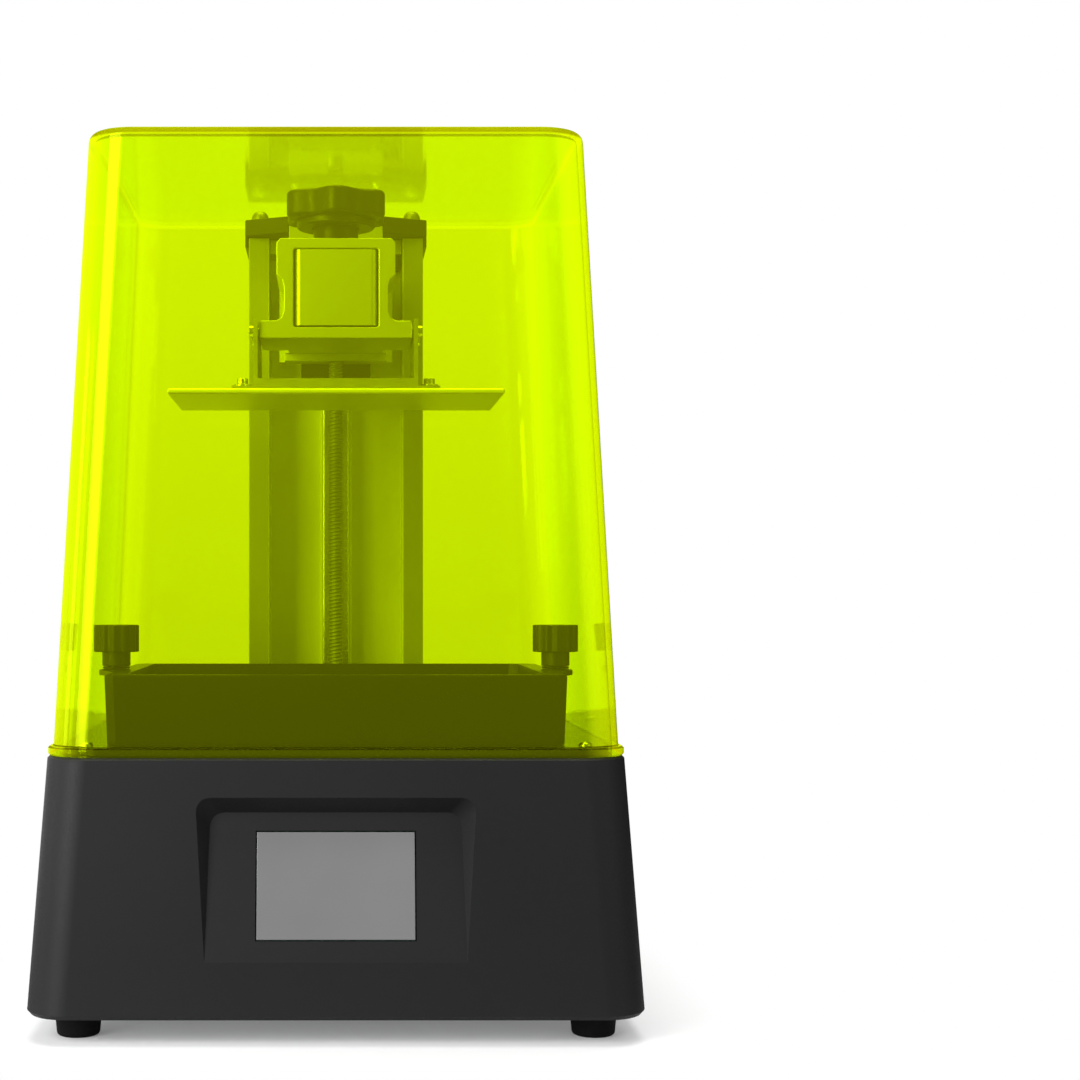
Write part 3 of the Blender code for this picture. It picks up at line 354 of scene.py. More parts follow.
def make_dyed_acrylic():
    """The cover's material, with a painted glow. Its round corners and edges are found by the way the surface
    faces.
    """
    clear = make_clear("dyed_fluorescent_acrylic", DYE_TINT, DYE_GLOSS, 0.08, 0.04)
    made, tree, mixed, out, facing, amount = clear

    def band(value, start, end, low=0.0, high=1.0):
        return ramp(tree, value, start, end, low, high, interpolation_type="SMOOTHSTEP")

    def product(first, second):
        return maths(tree, "MULTIPLY", first, second)

    place = node(tree, "ShaderNodeTexCoord").outputs["Object"]
    height = node(tree, "ShaderNodeSeparateXYZ", {0: place}).outputs["Z"]
    normal = node(tree, "ShaderNodeNewGeometry").outputs["Normal"]
    out_x, out_y, up = node(tree, "ShaderNodeSeparateXYZ", {0: normal}).outputs
    corner = band(maths(tree, "ABSOLUTE", product(out_x, out_y)), *CORNER_TURN)
    corner = product(corner, maths(tree, "ADD", facing, CORNER_FLOOR))
    outer_edge = product(band(up, *EDGE_TURN), band(up, *OUTER_FLAT))
    inner_edge = product(band(up, *(-turn for turn in EDGE_TURN)), band(up, *INNER_FLAT))
    inner_edge = product(inner_edge, band(height, *INNER_EDGE_RISE))
    # painted glow: an emission that brightens the top, the round corners and the inner edges as if lit
    glow = band(height, *PAINTED_GLOW_RISE, PAINTED_GLOW_LOW, PAINTED_GLOW_HIGH)
    glow = maths(tree, "MULTIPLY_ADD", corner, PAINTED_CORNER_GLOW, glow)
    glow = maths(tree, "MULTIPLY_ADD", inner_edge, PAINTED_INNER_EDGE_GLOW, glow)
    glow = product(glow, maths(tree, "SUBTRACT", 1.0, outer_edge))
    tint = node(tree, "ShaderNodeMix", {0: outer_edge, MIX_A: DYE_TINT, MIX_B: DYE_DEEP}, data_type="RGBA")
    through = next(n for n in tree.nodes if n.type == "BSDF_TRANSPARENT")
    tree.links.new(tint.outputs[MIX_COLOUR], through.inputs["Color"])
    dulling = maths(tree, "MULTIPLY_ADD", outer_edge, -EDGE_DULLING, 1.0)
    tree.links.new(product(amount, dulling), mixed.inputs[0])
    # the painted glow is an emission added over the clear skin, though the cover is no lamp
    painted_glow_shader = node(tree, "ShaderNodeEmission", {"Color": PAINTED_GLOW_COLOUR, "Strength": glow}).outputs[0]
    both = node(tree, "ShaderNodeAddShader", {0: mixed.outputs[0], 1: painted_glow_shader})
    tree.links.new(both.outputs[0], out.inputs[0])
    return made


DYED_ACRYLIC_PAINTED_GLOW = make_dyed_acrylic()


# ---------------------------------------------------------------- making pieces

def settle(name, mesh, body, slot, material, *replaced):
    """The last step of every piece: smooth, in its material, on its body, and standing for the CAD nodes that
    it replaces. `slot` is not used."""
    mesh.materials.clear()
    mesh.materials.append(material)
    for face in mesh.polygons:
        face.use_smooth = True
        face.material_index = 0
    piece = bpy.data.objects.new(name, mesh)
    scene.collection.objects.link(piece)
    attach(piece, body)
    if replaced:
        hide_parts(*replaced)
    return piece


def eased(mesh, width, sides=2):
    """The mesh with its sharp edges rounded `width` mm and its shading weighted to its broad faces."""
    host = bpy.data.objects.new("eased", mesh)
    scene.collection.objects.link(host)
    for face in mesh.polygons:
        face.use_smooth = True
    if width:
        rounding = host.modifiers.new("rounding", "BEVEL")
        rounding.width = width * MM
        rounding.segments = sides
        rounding.limit_method = "ANGLE"
        rounding.angle_limit = SMOOTH
    weighting = host.modifiers.new("weighting", "WEIGHTED_NORMAL")
    weighting.keep_sharp = True
    graph = bpy.context.evaluated_depsgraph_get()
    made = bpy.data.meshes.new_from_object(host.evaluated_get(graph), depsgraph=graph)
    bpy.data.objects.remove(host)
    return made


def refined(name, material, slot, width=0.3, sides=2):
    """A finished copy of a CAD node, which it stands for: one skin, whole flat faces and eased edges."""
    bm = bmesh.new()
    bm.from_mesh(nodes[name].data)
    bmesh.ops.remove_doubles(bm, verts=bm.verts, dist=WELD)
    bmesh.ops.dissolve_limit(bm, angle_limit=FLAT, verts=bm.verts, edges=bm.edges)
    mesh = as_mesh(bm, name)
    mesh.set_sharp_from_angle(angle=SMOOTH)
    body = nodes[name]["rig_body"]
    return settle(name + "_finished", eased(mesh, width, sides), body, slot, material, name)


def paint(piece, material, chosen):
    """A second material on the faces that `chosen` picks."""
    piece.data.materials.append(material)
    for face in piece.data.polygons:
        face.material_index = int(chosen(face))


def rounded_square(width, radius, z, steps=12):
    """A square ring with round corners at height z."""
    reach = width / 2 - radius
    ring = []
    centres = (reach, reach), (-reach, reach), (-reach, -reach), (reach, -reach)
    for quarter, (cx, cy) in enumerate(centres):
        for step in range(steps + 1):
            angle = math.pi / 2 * (quarter + step / steps)
            ring.append((cx + radius * math.cos(angle), cy + radius * math.sin(angle), z))
    return ring


def loft(name, rings):
    """A closed skin through rings of equal length, with a flat face on the first and the last."""
    bm = bmesh.new()
    rows = [[bm.verts.new(Vector(point) * MM) for point in ring] for ring in rings]
    count = len(rings[0])
    for low, high in zip(rows, rows[1:]):
        for i in range(count):
            bm.faces.new((low[i], low[(i + 1) % count], high[(i + 1) % count], high[i]))
    bm.faces.new(rows[0][::-1])
    bm.faces.new(rows[-1])
    bmesh.ops.recalc_face_normals(bm, faces=bm.faces)
    return as_mesh(bm, name)


# ---------------------------------------------------------------- geometry trees

def new_tree(name, inputs):
    """A geometry tree with named inputs; returns the tree, its input sockets and its output node."""
    tree = bpy.data.node_groups.new(name, "GeometryNodeTree")
    tree.interface.new_socket("Geometry", in_out="INPUT", socket_type="NodeSocketGeometry")
    for label, kind in inputs.items():
        tree.interface.new_socket(label, in_out="INPUT", socket_type="NodeSocket" + kind)
    tree.interface.new_socket("Geometry", in_out="OUTPUT", socket_type="NodeSocketGeometry")
    return tree, node(tree, "NodeGroupInput").outputs


def close_tree(tree, geometry, material):
    """The end of every tree: instances made real, and the material set."""
    real = node(tree, "GeometryNodeRealizeInstances", {0: geometry}).outputs[0]
    painted = node(tree, "GeometryNodeSetMaterial", {"Geometry": real, "Material": material}).outputs[0]
    node(tree, "NodeGroupOutput", {0: painted})
    return tree


def grown(tree, values, start=None):
    """The plain mesh that a tree grows, from the mesh `start` or from nothing. Inputs are set by name."""
    if start is None:
        start = bpy.data.meshes.new("nothing")
    host = bpy.data.objects.new(tree.name, start)
    scene.collection.objects.link(host)
    grow = host.modifiers.new("grow", "NODES")
    grow.node_group = tree
    for item in tree.interface.items_tree:
        if item.in_out == "INPUT" and item.name in values:
            grow[item.identifier] = values[item.name]
    graph = bpy.context.evaluated_depsgraph_get()
    made = bpy.data.meshes.new_from_object(host.evaluated_get(graph), depsgraph=graph)
    bpy.data.objects.remove(host)
    return made


def formula(tree, *steps):
    """Chains Math nodes: each step is (operation, first, second), where None stands for the last result."""
    last = None
    for operation, *terms in steps:
        last = maths(tree, operation, *(last if term is None else term for term in terms))
    return last


def polar(tree):
    """The angle round Z, the place and the height of each point."""
    place = node(tree, "GeometryNodeInputPosition").outputs[0]
    x, y, z = node(tree, "ShaderNodeSeparateXYZ", {0: place}).outputs
    return formula(tree, ("ARCTAN2", y, x)), place, z


def thread_tree():
    """A screw thread: the wall of a rod moves in and out with height and angle, one groove each pitch.
    A quarter of the pitch is crest, a quarter is root, and the two flanks take the rest."""
    tree, given = new_tree("screw_thread", {"Crest Radius": "Float", "Thread Depth": "Float",
                                            "Pitch": "Float", "Starts": "Float", "Length": "Float",
                                            "Sides": "Int", "Rows": "Int", "Material": "Material"})
    rod = node(tree, "GeometryNodeMeshCylinder", {"Vertices": given["Sides"], "Side Segments": given["Rows"],
                                                  "Radius": given["Crest Radius"], "Depth": given["Length"]})
    angle, place, z = polar(tree)
    turns = formula(tree, ("DIVIDE", angle, 2 * math.pi), ("MULTIPLY", None, given["Starts"]))
    phase = formula(tree, ("DIVIDE", z, given["Pitch"]), ("SUBTRACT", None, turns), ("FRACT", None))
    groove = formula(tree, ("SUBTRACT", phase, 0.5), ("ABSOLUTE", None), ("MULTIPLY", None, 4.0),
                     ("SUBTRACT", None, 0.5))
    share = node(tree, "ShaderNodeClamp", {"Value": groove}).outputs[0]
    sunk = formula(tree, ("MULTIPLY", share, given["Thread Depth"]), ("DIVIDE", None, given["Crest Radius"]),
                   ("SUBTRACT", 1.0, None))
    flat = node(tree, "ShaderNodeCombineXYZ", {"X": sunk, "Y": sunk, "Z": 1.0}).outputs[0]
    moved = node(tree, "ShaderNodeVectorMath", {0: place, 1: flat}, operation="MULTIPLY").outputs[0]
    cut = node(tree, "GeometryNodeSetPosition", {"Geometry": rod.outputs["Mesh"], "Position": moved})
    return close_tree(tree, cut.outputs[0], given["Material"])


def grip_tree():
    """A hand grip: a disc whose radius swings in and out once for each lobe."""
    tree, given = new_tree("lobed_grip", {"Mean Radius": "Float", "Swing": "Float", "Lobes": "Float",
                                          "Turn": "Float", "Height": "Float", "Sides": "Int",
                                          "Material": "Material"})
    disc = node(tree, "GeometryNodeMeshCylinder", {"Vertices": given["Sides"], "Radius": given["Mean Radius"],
                                                   "Depth": given["Height"]})
    angle, place, _ = polar(tree)
    swing = formula(tree, ("SUBTRACT", angle, given["Turn"]), ("MULTIPLY", None, given["Lobes"]),
                    ("COSINE", None), ("MULTIPLY", None, given["Swing"]),
                    ("DIVIDE", None, given["Mean Radius"]), ("ADD", None, 1.0))
    flat = node(tree, "ShaderNodeCombineXYZ", {"X": swing, "Y": swing, "Z": 1.0}).outputs[0]
    moved = node(tree, "ShaderNodeVectorMath", {0: place, 1: flat}, operation="MULTIPLY").outputs[0]
    shaped = node(tree, "GeometryNodeSetPosition", {"Geometry": disc.outputs["Mesh"], "Position": moved})
    return close_tree(tree, shaped.outputs[0], given["Material"])


def row_tree():
    """One small part set at every point it is given, facing one way."""
    tree, given = new_tree("set_on_points", {"Part": "Object", "Diameter": "Float", "Height": "Float",
                                             "Facing": "Vector", "Material": "Material"})
    part = node(tree, "GeometryNodeObjectInfo", {"Object": given["Part"]}).outputs["Geometry"]
    aim = node(tree, "FunctionNodeAlignRotationToVector", {"Vector": given["Facing"]}, axis="Z").outputs[0]
    size = node(tree, "ShaderNodeCombineXYZ", {"X": given["Diameter"], "Y": given["Diameter"],
                                               "Z": given["Height"]}).outputs[0]
    many = node(tree, "GeometryNodeInstanceOnPoints", {"Points": given["Geometry"], "Instance": part,
                                                       "Rotation": aim, "Scale": size}).outputs[0]
    return close_tree(tree, many, given["Material"])


def ring_tree():
    """Copies of one part turned evenly round Z, such as the blades of a fan."""
    tree, given = new_tree("turned_round_axis", {"Part": "Object", "Count": "Int", "Material": "Material"})
    part = node(tree, "GeometryNodeObjectInfo", {"Object": given["Part"]}).outputs["Geometry"]
    points = node(tree, "GeometryNodePoints", {"Count": given["Count"]}).outputs[0]
    index = node(tree, "GeometryNodeInputIndex").outputs[0]
    turn = formula(tree, ("MULTIPLY", index, 2 * math.pi), ("DIVIDE", None, given["Count"]))
    spin = node(tree, "ShaderNodeCombineXYZ", {"Z": turn}).outputs[0]
    many = node(tree, "GeometryNodeInstanceOnPoints", {"Points": points, "Instance": part,
                                                       "Rotation": spin}).outputs[0]
    return close_tree(tree, many, given["Material"])


THREAD, GRIP, ROW, RING = thread_tree(), grip_tree(), row_tree(), ring_tree()


# ---------------------------------------------------------------- small parts that repeat

SCREW_SIDES = 24


def turned_rings(profile, sides=SCREW_SIDES):
    """Rings of a turned part. Each profile point is radius and height, or radius, height and 'hex'."""
    rings = []
    for radius, z, *shape in profile:
        ring = []
        for i in range(sides):
            angle = 2 * math.pi * i / sides
            reach = radius
            if shape:
                reach = radius / math.cos((angle + math.pi / 6) % (math.pi / 3) - math.pi / 6)
            ring.append((reach * math.cos(angle), reach * math.sin(angle), z))
        rings.append(ring)
    return rings


# Heads one millimetre across and high: a cap screw and a button screw with hexagon sockets, an LED lens.
CAP_HEAD = [(0.5, 0), (0.5, 0.86), (0.46, 0.97), (0.42, 1.0), (0.27, 1.0), (0.25, 0.95, "hex"),
            (0.25, 0.4, "hex")]
BUTTON_HEAD = [(0.5, 0), (0.495, 0.2), (0.45, 0.55), (0.36, 0.83), (0.26, 0.97), (0.2, 1.0),
               (0.18, 0.93, "hex"), (0.18, 0.45, "hex")]
LED_DOME = [(0.5, 0), (0.5, 0.25), (0.42, 0.6), (0.28, 0.87), (0.1, 1.0)]


def set_on_points(name, profile, places, size, facing, body, slot, material):
    """Turned parts of one kind and of one `size`, diameter and height, at `places`, all facing `facing`."""
    part = bpy.data.objects.new("part", loft("part", turned_rings(profile)))
    scene.collection.objects.link(part)
    dots = bpy.data.meshes.new("dots")
    dots.from_pydata([Vector(place) * MM for place in places], [], [])
    mesh = grown(ROW, {"Part": part, "Diameter": size[0], "Height": size[1],
                       "Facing": Vector(facing).normalized(), "Material": material}, dots)
    bpy.data.objects.remove(part)
    mesh.set_sharp_from_angle(angle=SMOOTH)
    return settle(name, mesh, body, slot, material)


BLADE_STEPS, BLADE_ROWS = 8, 4    # facets from hub to tip, and across a blade
BLADE_HALF = 0.6                  # half its thickness
BLADE_SWEEP, SWEEP_CURVE = 16, 1.4          # degrees that the tip trails, and how late it bends back
ROOT_CHORD, CHORD_GROWTH = 0.62, 0.5        # width at the root and what the tip adds, in hub radii
ROOT_PITCH, PITCH_LOSS = 42, 14             # degrees at the root, and what the tip loses
CAMBER, BLADE_RISE = 0.9, 0.75              # bulge of its middle, and share of its pitch that is kept


def blade_skins(bm, hub, tip, height):
    """The lower and upper skin of one swept and twisted blade, each as rows of points from hub to tip."""
    skins = []
    for face in (-1, 1):
        rows = []
        for i in range(BLADE_STEPS + 1):
            reach = hub - 1 + (tip - hub + 1) * i / BLADE_STEPS
            sweep = math.radians(BLADE_SWEEP) * (i / BLADE_STEPS) ** SWEEP_CURVE
            width = (ROOT_CHORD + CHORD_GROWTH * i / BLADE_STEPS) * hub
            pitch = math.radians(ROOT_PITCH - PITCH_LOSS * i / BLADE_STEPS)
            row = []
            for j in range(BLADE_ROWS + 1):
                across = (j / BLADE_ROWS - 0.5) * width
                bulge = CAMBER * (1 - (2 * j / BLADE_ROWS - 1) ** 2)
                rise = height / 2 + across * math.sin(pitch) * BLADE_RISE + bulge
                rise = max(0.5, min(height - 0.5, rise)) + face * BLADE_HALF
                turn = sweep + across * math.cos(pitch) / reach
                row.append(bm.verts.new(Vector((reach * math.cos(turn), reach * math.sin(turn), rise)) * MM))
            rows.append(row)
        skins.append(rows)
    return skins


def outline(rows):
    """The points round the edge of one skin: root, one side, tip, and back along the other side."""
    return rows[0] + [row[-1] for row in rows[1:]] + rows[-1][-2::-1] + [row[0] for row in rows[-2:0:-1]]


def fan_blades(name, node_name, axis, base, hub, tip, height, count=7):
    """A fan rotor: a cupped hub and swept blades, turned to lie along `axis` from the point `base`."""
    bm = bmesh.new()
    skins = blade_skins(bm, hub, tip, height)
    for rows in skins:
        for low, high in zip(rows, rows[1:]):
            for j in range(BLADE_ROWS):
                bm.faces.new((low[j], low[j + 1], high[j + 1], high[j]))
    rim, top = outline(skins[0]), outline(skins[1])
    for i in range(len(rim)):
        k = (i + 1) % len(rim)
        bm.faces.new((rim[i], rim[k], top[k], top[i]))
    bmesh.ops.recalc_face_normals(bm, faces=bm.faces)
    blade = bpy.data.objects.new("blade", as_mesh(bm, "blade"))
    scene.collection.objects.link(blade)
    blades = grown(RING, {"Part": blade, "Count": count, "Material": BLACK_ABS})
    bpy.data.objects.remove(blade)
    cup = loft("cup", turned_rings([(hub * 0.55, 0.4), (hub * 0.6, 0), (hub - 0.8, 0), (hub, 0.8),
                                    (hub, height - 1.2), (hub - 1.2, height), (hub * 0.5, height)],
                                   ROUND_SIDES))
    bm = bmesh.new()
    bm.from_mesh(blades)
    bm.from_mesh(cup)
    bm.transform(Matrix.Translation(Vector(base) * MM)
                 @ Vector(axis).normalized().to_track_quat("Z", "X").to_matrix().to_4x4())
    mesh = as_mesh(bm, name)
    mesh.set_sharp_from_angle(angle=SMOOTH)
    return settle(name, mesh, nodes[node_name]["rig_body"], "black_plastic", BLACK_ABS, node_name)


# ---------------------------------------------------------------- cover

COVER_RADIUS = 21.0               # of its upright corners
COVER_WALL = 3.0
COVER_FOOT = 268.0                # width of the walls where they stand on the flange
COVER_TAPER = 30.0                # and how much narrower they are at the top
FLANGE_T = 4.3
FLANGE_EDGE = 0.8
FLANGE_FILLET = 0.7               # between flange and wall
TOP_EDGE, CEILING_EDGE = 4.5, 2.5 # radius of the rounded top edge, outside and inside
CORNER_FOLLOW = 0.8               # how much of an inset the corner radius loses


def make_cover():
    """The cover: a thin open box with a flange, tapered walls and round corners, as one closed skin."""
    low, high = extent("cover")
    foot, top = low.z, high.z
    wall_z = foot + FLANGE_T
    flange_w = high.x - low.x

    def width_at(z):
        return COVER_FOOT - COVER_TAPER * (z - wall_z) / (top - wall_z)

    def rounded_over(edge, edge_top, wall, steps):
        """Rings over the rounded top edge of the walls, `wall` mm inside their outer skin."""
        rings = []
        for step in range(steps + 1):
            angle = math.pi / 2 * step / steps
            inset = edge * (1 - math.cos(angle))
            z = edge_top - edge * (1 - math.sin(angle))
            width = width_at(z) - 2 * wall - 2 * inset
            rings.append(rounded_square(width, COVER_RADIUS - wall - inset * CORNER_FOLLOW, z))
        return rings

    outer = [rounded_square(flange_w - 2 * FLANGE_EDGE, COVER_RADIUS - FLANGE_EDGE, foot),
             rounded_square(flange_w, COVER_RADIUS, foot + FLANGE_EDGE),
             rounded_square(flange_w, COVER_RADIUS, wall_z - FLANGE_EDGE),
             rounded_square(flange_w - 2 * FLANGE_EDGE, COVER_RADIUS, wall_z),
             rounded_square(width_at(wall_z) + FLANGE_FILLET, COVER_RADIUS, wall_z + 0.1),
             rounded_square(width_at(wall_z + FLANGE_FILLET), COVER_RADIUS, wall_z + FLANGE_FILLET)]
    outer += rounded_over(TOP_EDGE, top, 0, 8)
    inner = [rounded_square(COVER_FOOT - 2 * COVER_WALL, COVER_RADIUS - COVER_WALL, foot),
             rounded_square(width_at(wall_z) - 2 * COVER_WALL, COVER_RADIUS - COVER_WALL, wall_z)]
    inner += rounded_over(CEILING_EDGE, top - COVER_WALL, COVER_WALL, 6)
    mesh = loft("cover_shell", inner[::-1] + outer)
    mesh.set_sharp_from_angle(angle=SMOOTH)
    settle("cover_shell", eased(mesh, 0), "cover", "cover_acrylic", DYED_ACRYLIC_PAINTED_GLOW, "cover")


make_cover()


# ---------------------------------------------------------------- base and what it holds

refined("base_shell", POWDER_COAT, "housing_paint", 0.25)
refined("deck_plate", SATIN_DECK, "housing_paint", 0.5)
refined("bottom_plate", ZINC_SHEET, "zinc_steel", 0.2)
refined("touch_screen", TOUCH_GLASS, "touch_glass", 0.25)
for corner in ("front_left", "front_right", "rear_left", "rear_right"):
    refined("foot_" + corner, RUBBER, "foot_rubber", 0.8, 3)
for part in ("display_module", "mainboard"):
    refined(part, SOLDER_MASK, "circuit_board", 0.15)
refined("power_supply", ZINC_SHEET, "zinc_steel", 0.3)
refined("usb_port", ZINC_SHEET, "zinc_steel", 0.2)
for part in ("exhaust_fan_frame", "led_fan_frame", "mains_inlet", "power_switch_body", "light_hood"):
    refined(part, BLACK_ABS, "black_plastic", 0.25)
refined("power_rocker", KNOB_NYLON, "knob_plastic", 0.5, 3)
refined("heat_sink", ANODISED, "anodised_aluminium", 0.15)
refined("led_array_board", SOLDER_MASK, "circuit_board", 0.1)
refined("lcd_panel", MASK_SCREEN, "lcd_glass", 0.2)
refined("fresnel_lens", LENS, "clear_lens", 0.2)

# ---------------------------------------------------------------- Z axis

LIP_X = 38.0                      # the column's two lips lie further out than this, in front of its web
column = refined("column", EXTRUSION, "anodised_aluminium", 0.4)
# the lips' front faces get the darker copy of the aluminium, as painted shade
paint(column, LIP_PAINTED_SHADE, lambda face: abs(face.center.x) > LIP_X * MM and face.normal.y < -0.5)
refined("column_cap", BLACK_ABS, "black_plastic", 0.5, 3)
refined("z_motor", LAMINATIONS, "motor_paint", 0.4)
refined("motor_shaft", BRIGHT_STEEL, "bright_steel", 0.3)
refined("shaft_coupling", ANODISED, "anodised_aluminium", 0.2)
refined("linear_rail", BRIGHT_STEEL, "bright_steel", 0.2)
refined("carriage_block", BRIGHT_STEEL, "bright_steel", 0.4)
for part in ("carriage_seal_lower", "carriage_seal_upper", "limit_sensor"):
    refined(part, BLACK_ABS, "black_plastic", 0.4)
refined("lead_nut", BRASS, "nut_brass", 0.25)
refined("bearing_block", ANODISED, "anodised_aluminium", 0.4)
refined("top_bearing", BRIGHT_STEEL, "bright_steel", 0.25)
refined("platform_arm", ANODISED, "anodised_aluminium", 0.5)


CREST, THREAD_DEPTH = 4.0, 0.9
PITCH, STARTS = 2.0, 2.0          # two starts, so one turn climbs twice the pitch
THREAD_SIDES, THREAD_ROWS = 24, 8 # facets round the screw, and in each pitch
THREAD_SMOOTH = math.radians(50)


def make_lead_screw():
    """The lead screw as a real thread, as long as the CAD's plain rod."""
    low, high = extent("lead_screw")
    length = high.z - low.z
    mesh = grown(THREAD, {"Crest Radius": CREST * MM, "Thread Depth": THREAD_DEPTH * MM, "Pitch": PITCH * MM,
                          "Starts": STARTS, "Length": length * MM, "Sides": THREAD_SIDES,
                          "Rows": int(length / PITCH * THREAD_ROWS), "Material": ROLLED_THREAD})
    mesh.transform(Matrix.Translation(Vector((0, SCREW_Y, (low.z + high.z) / 2)) * MM))
    mesh.set_sharp_from_angle(angle=THREAD_SMOOTH)
    settle("lead_screw_thread", mesh, "z_screw", "bright_steel", ROLLED_THREAD, "lead_screw")


make_lead_screw()

# ---------------------------------------------------------------- build platform

BUSH_Z = 386.3                    # above this the hanger is a pressed-in threaded steel bush
hanger = refined("platform_hanger", ANODISED, "anodised_aluminium", 0.5, 3)
paint(hanger, BLACK_OXIDE, lambda face: face.center.z > BUSH_Z * MM)
refined("clamp_pad", BRIGHT_STEEL, "bright_steel", 0.3)
refined("platform_bracket", ZINC_SHEET, "bright_steel", 0.3)
refined("build_plate", SANDED, "plate_aluminium", 0.4)


def make_grip(name, node_name, axis, size, heights, shaft):
    """A moulded hand grip: a lobed head between two heights, over turned steps given as radius and height.
    `size` is the head's mean radius, the swing, number and turn of its lobes, and its edge radius."""
    mean, swing, lobes, turn, edge = size
    low, high = heights
    head = grown(GRIP, {"Mean Radius": mean * MM, "Swing": swing * MM, "Lobes": float(lobes), "Turn": turn,
                        "Height": (high - low) * MM, "Sides": GRIP_SIDES, "Material": KNOB_NYLON})
    head = eased(head, edge, 5)
    head.transform(Matrix.Translation(Vector((0, 0, (low + high) / 2)) * MM))
    bm = bmesh.new()
    bm.from_mesh(head)
    bm.from_mesh(loft("shaft", turned_rings(shaft, ROUND_SIDES)))
    bm.transform(Matrix.Translation(Vector((*axis, 0)) * MM))
    mesh = as_mesh(bm, name)
    mesh.set_sharp_from_angle(angle=SMOOTH)
    return settle(name, mesh, nodes[node_name]["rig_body"], "knob_plastic", KNOB_NYLON, node_name)


KNOB_HEAD = (25.1, 2.6, 6, math.pi / 2, 2.2)
KNOB_HEAD_FOOT = 399.0
KNOB_SKIRT = [(4.0, 398.2), (12.2, 398.2), (12.2, 395.4), (19.2, 395.4), (20.0, 396.2), (20.0, 399.6),
              (18.0, 400.4)]
low, high = extent("platform_knob")
make_grip("platform_knob_grip", "platform_knob", (0, PRINT_Y), KNOB_HEAD, (KNOB_HEAD_FOOT, high.z),
          [(3.2, low.z), (4.0, low.z + 0.8)] + KNOB_SKIRT)

# ---------------------------------------------------------------- vat

refined("vat_body", VAT_BLACK, "vat_plastic", 0.9, 3)
refined("release_film", FILM, "film_clear", 0)
refined("film_clamp_frame", ZINC_SHEET, "zinc_steel", 0.2)

THUMB_HEAD = (11.1, 0.5, 12, 0.0, 0.6)
THUMB_HEAD_FOOT = 178.7
THUMB_NECK = [(3.0, 171.5), (6.8, 171.5), (7.2, 171.9), (7.2, 179.2)]
for side in ("left", "right"):
    refined("thumb_washer_" + side, BLACK_OXIDE, "bright_steel", 0.2)
    low, high = extent("thumb_screw_" + side)
    make_grip("thumb_screw_grip_" + side, "thumb_screw_" + side, ((low.x + high.x) / 2, PRINT_Y), THUMB_HEAD,
              (THUMB_HEAD_FOOT, high.z), [(2.4, low.z), (3.0, low.z + 0.8)] + THUMB_NECK)

# ---------------------------------------------------------------- fasteners

LEAN, LEAN_HEIGHT = 8.5, 120.0    # the base walls lean in by this over this height
SLOPE = math.atan2(LEAN, LEAN_HEIGHT)
BASE_HALF, BASE_FOOT = 145.0, 12.0     # half the base's width at its foot, and the height of the foot
UP, DOWN, FORWARD = (0, 0, 1), (0, 0, -1), (0, -1, 0)
REAR = (0, math.cos(SLOPE), math.sin(SLOPE))
BOTH = (-1, 1)

# Diameter and height of what shows of each screw head, and of an LED's lens.
LARGE_HEAD, PANEL_HEAD, FAN_HEAD, NOSE_HEAD = (9.8, 5.0), (6.5, 1.8), (6.0, 1.6), (5.6, 2.4)
NUT_HEAD, RAIL_HEAD, LED_SIZE = (3.8, 2.2), (5.4, 0.25), (4.4, 1.6)

CAP_X, CAP_Y = 42.5, 54.0         # screws of the column's cap, and of the nose in front of it
NOSE_X, NOSE_Y = 22.5, 43.0
DECK_REACH, DECK_MIDDLE = 118.0, 60.0
PLATE_REACH, PLATE_PITCH = 131.0, 60.0
NUT_REACH = 5.9                   # from the lead screw's axis, along X and along Y
RAIL_HOLES = range(155, 395, 25)
FAN_X, FAN_Z = -70.0, 74.0
FAN_HOLES = 25.0                  # half the 50 mm hole spacing of a 60 mm fan
LED_PITCH = 13.0


def steel_screws(name, profile, places, size, facing, body, material=BRIGHT_STEEL):
    """Screw heads of one kind and size as one piece."""
    return set_on_points(name, profile, places, size, facing, body, "bright_steel", material)


def rear_wall(x, z):
    """A point on the outside of the sloping rear wall."""
    return x, BASE_HALF - (z - BASE_FOOT) * math.tan(SLOPE), z


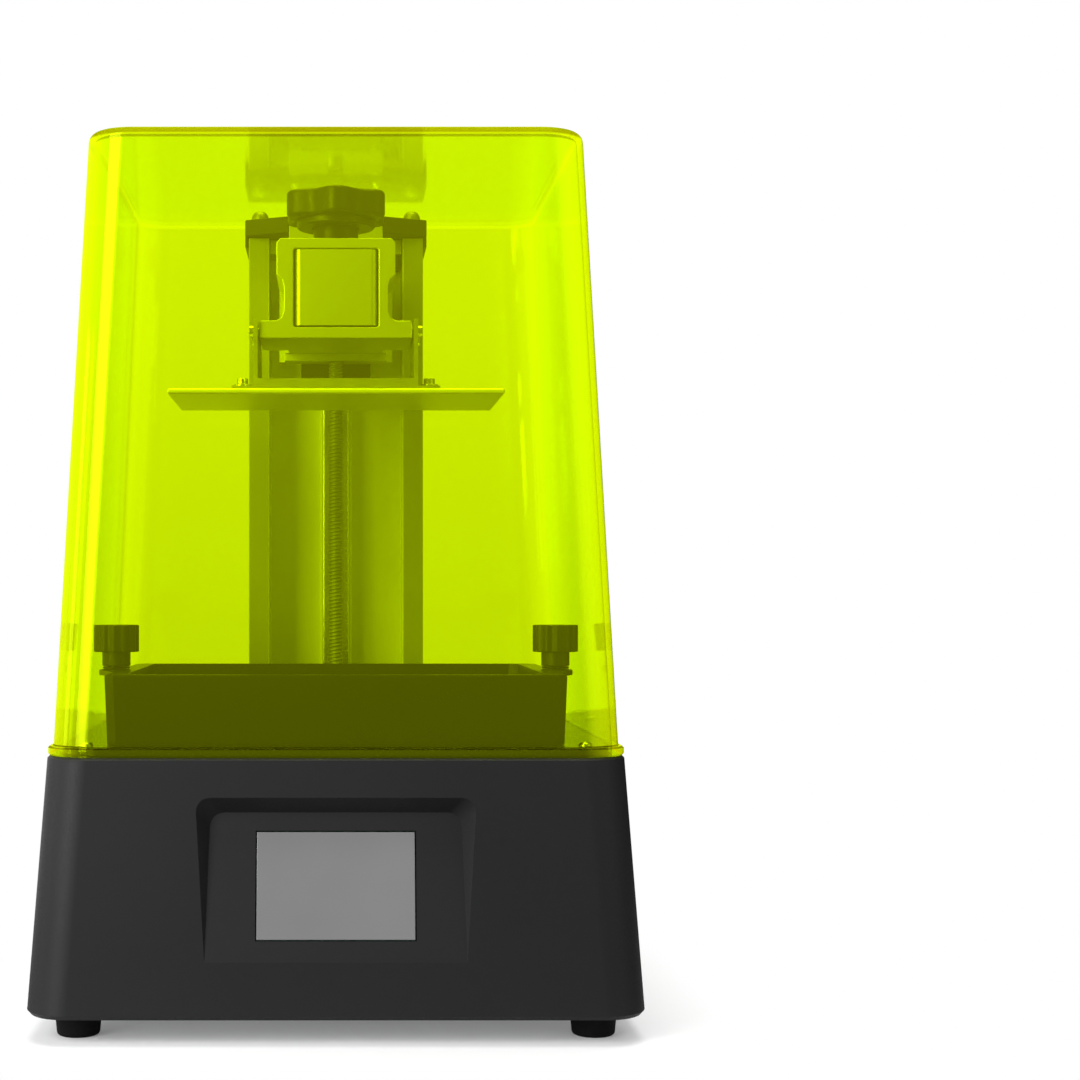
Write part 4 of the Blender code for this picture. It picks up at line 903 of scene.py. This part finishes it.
z = extent("column_cap")[1].z
steel_screws("column_cap_screws", BUTTON_HEAD, [(x * CAP_X, CAP_Y, z) for x in BOTH], LARGE_HEAD, UP, "base",
             ROLLED_THREAD)
steel_screws("column_cap_nose_screws", BUTTON_HEAD, [(x * NOSE_X, NOSE_Y, z) for x in BOTH], NOSE_HEAD, UP,
             "base")
z = extent("deck_plate")[1].z
places = [(x * DECK_REACH, y, z) for x in BOTH for y in (-DECK_REACH, DECK_MIDDLE, DECK_REACH)]
steel_screws("deck_screws", BUTTON_HEAD, places, PANEL_HEAD, UP, "base")
z = extent("bottom_plate")[0].z
places = [(x * PLATE_REACH, 0, z) for x in BOTH] + [(0, y * PLATE_REACH, z) for y in (1, -1)]
places += [(x * PLATE_PITCH, y * PLATE_REACH, z) for y in (1, -1) for x in BOTH]
steel_screws("bottom_plate_screws", BUTTON_HEAD, places, PANEL_HEAD, DOWN, "base")
z = extent("lead_nut")[1].z
places = [(NUT_REACH * x, SCREW_Y + NUT_REACH * y, z) for x in BOTH for y in BOTH]
steel_screws("lead_nut_screws", CAP_HEAD, places, NUT_HEAD, UP, "z_carriage")
rail_front = extent("linear_rail")[0].y
steel_screws("rail_screws", CAP_HEAD, [(0, rail_front, z) for z in RAIL_HOLES], RAIL_HEAD, FORWARD, "base")
places = [rear_wall(FAN_X + x * FAN_HOLES, FAN_Z + z * FAN_HOLES) for x in BOTH for z in BOTH]
steel_screws("exhaust_fan_screws", BUTTON_HEAD, places, FAN_HEAD, REAR, "base")
for corner in ("front_left", "front_right", "rear_left", "rear_right"):
    for kind in ("plate_screw_", "level_screw_"):
        refined(kind + corner, BRIGHT_STEEL, "bright_steel", 0.2)
z = extent("led_array_board")[1].z
places = [(x * LED_PITCH, PRINT_Y + y * LED_PITCH, z) for x in range(-2, 3) for y in range(-2, 3)]
set_on_points("led_lenses", LED_DOME, places, LED_SIZE, UP, "base", "circuit_board", LED_PACKAGE)


# ---------------------------------------------------------------- fans

LED_FAN = {"hub": 15.0, "tip": 35.5, "height": 12.0}
EXHAUST_FAN = {"hub": 12.0, "tip": 25.5, "height": 9.0}
low, high = extent("led_fan_rotor")
fan_blades("led_fan_blades", "led_fan_rotor", UP, (0, PRINT_Y, low.z), **LED_FAN)
low, high = extent("exhaust_fan_rotor")
foot = (low + high) / 2 - Vector(REAR) * (EXHAUST_FAN["height"] / 2)
fan_blades("exhaust_fan_blades", "exhaust_fan_rotor", REAR, foot, **EXHAUST_FAN)
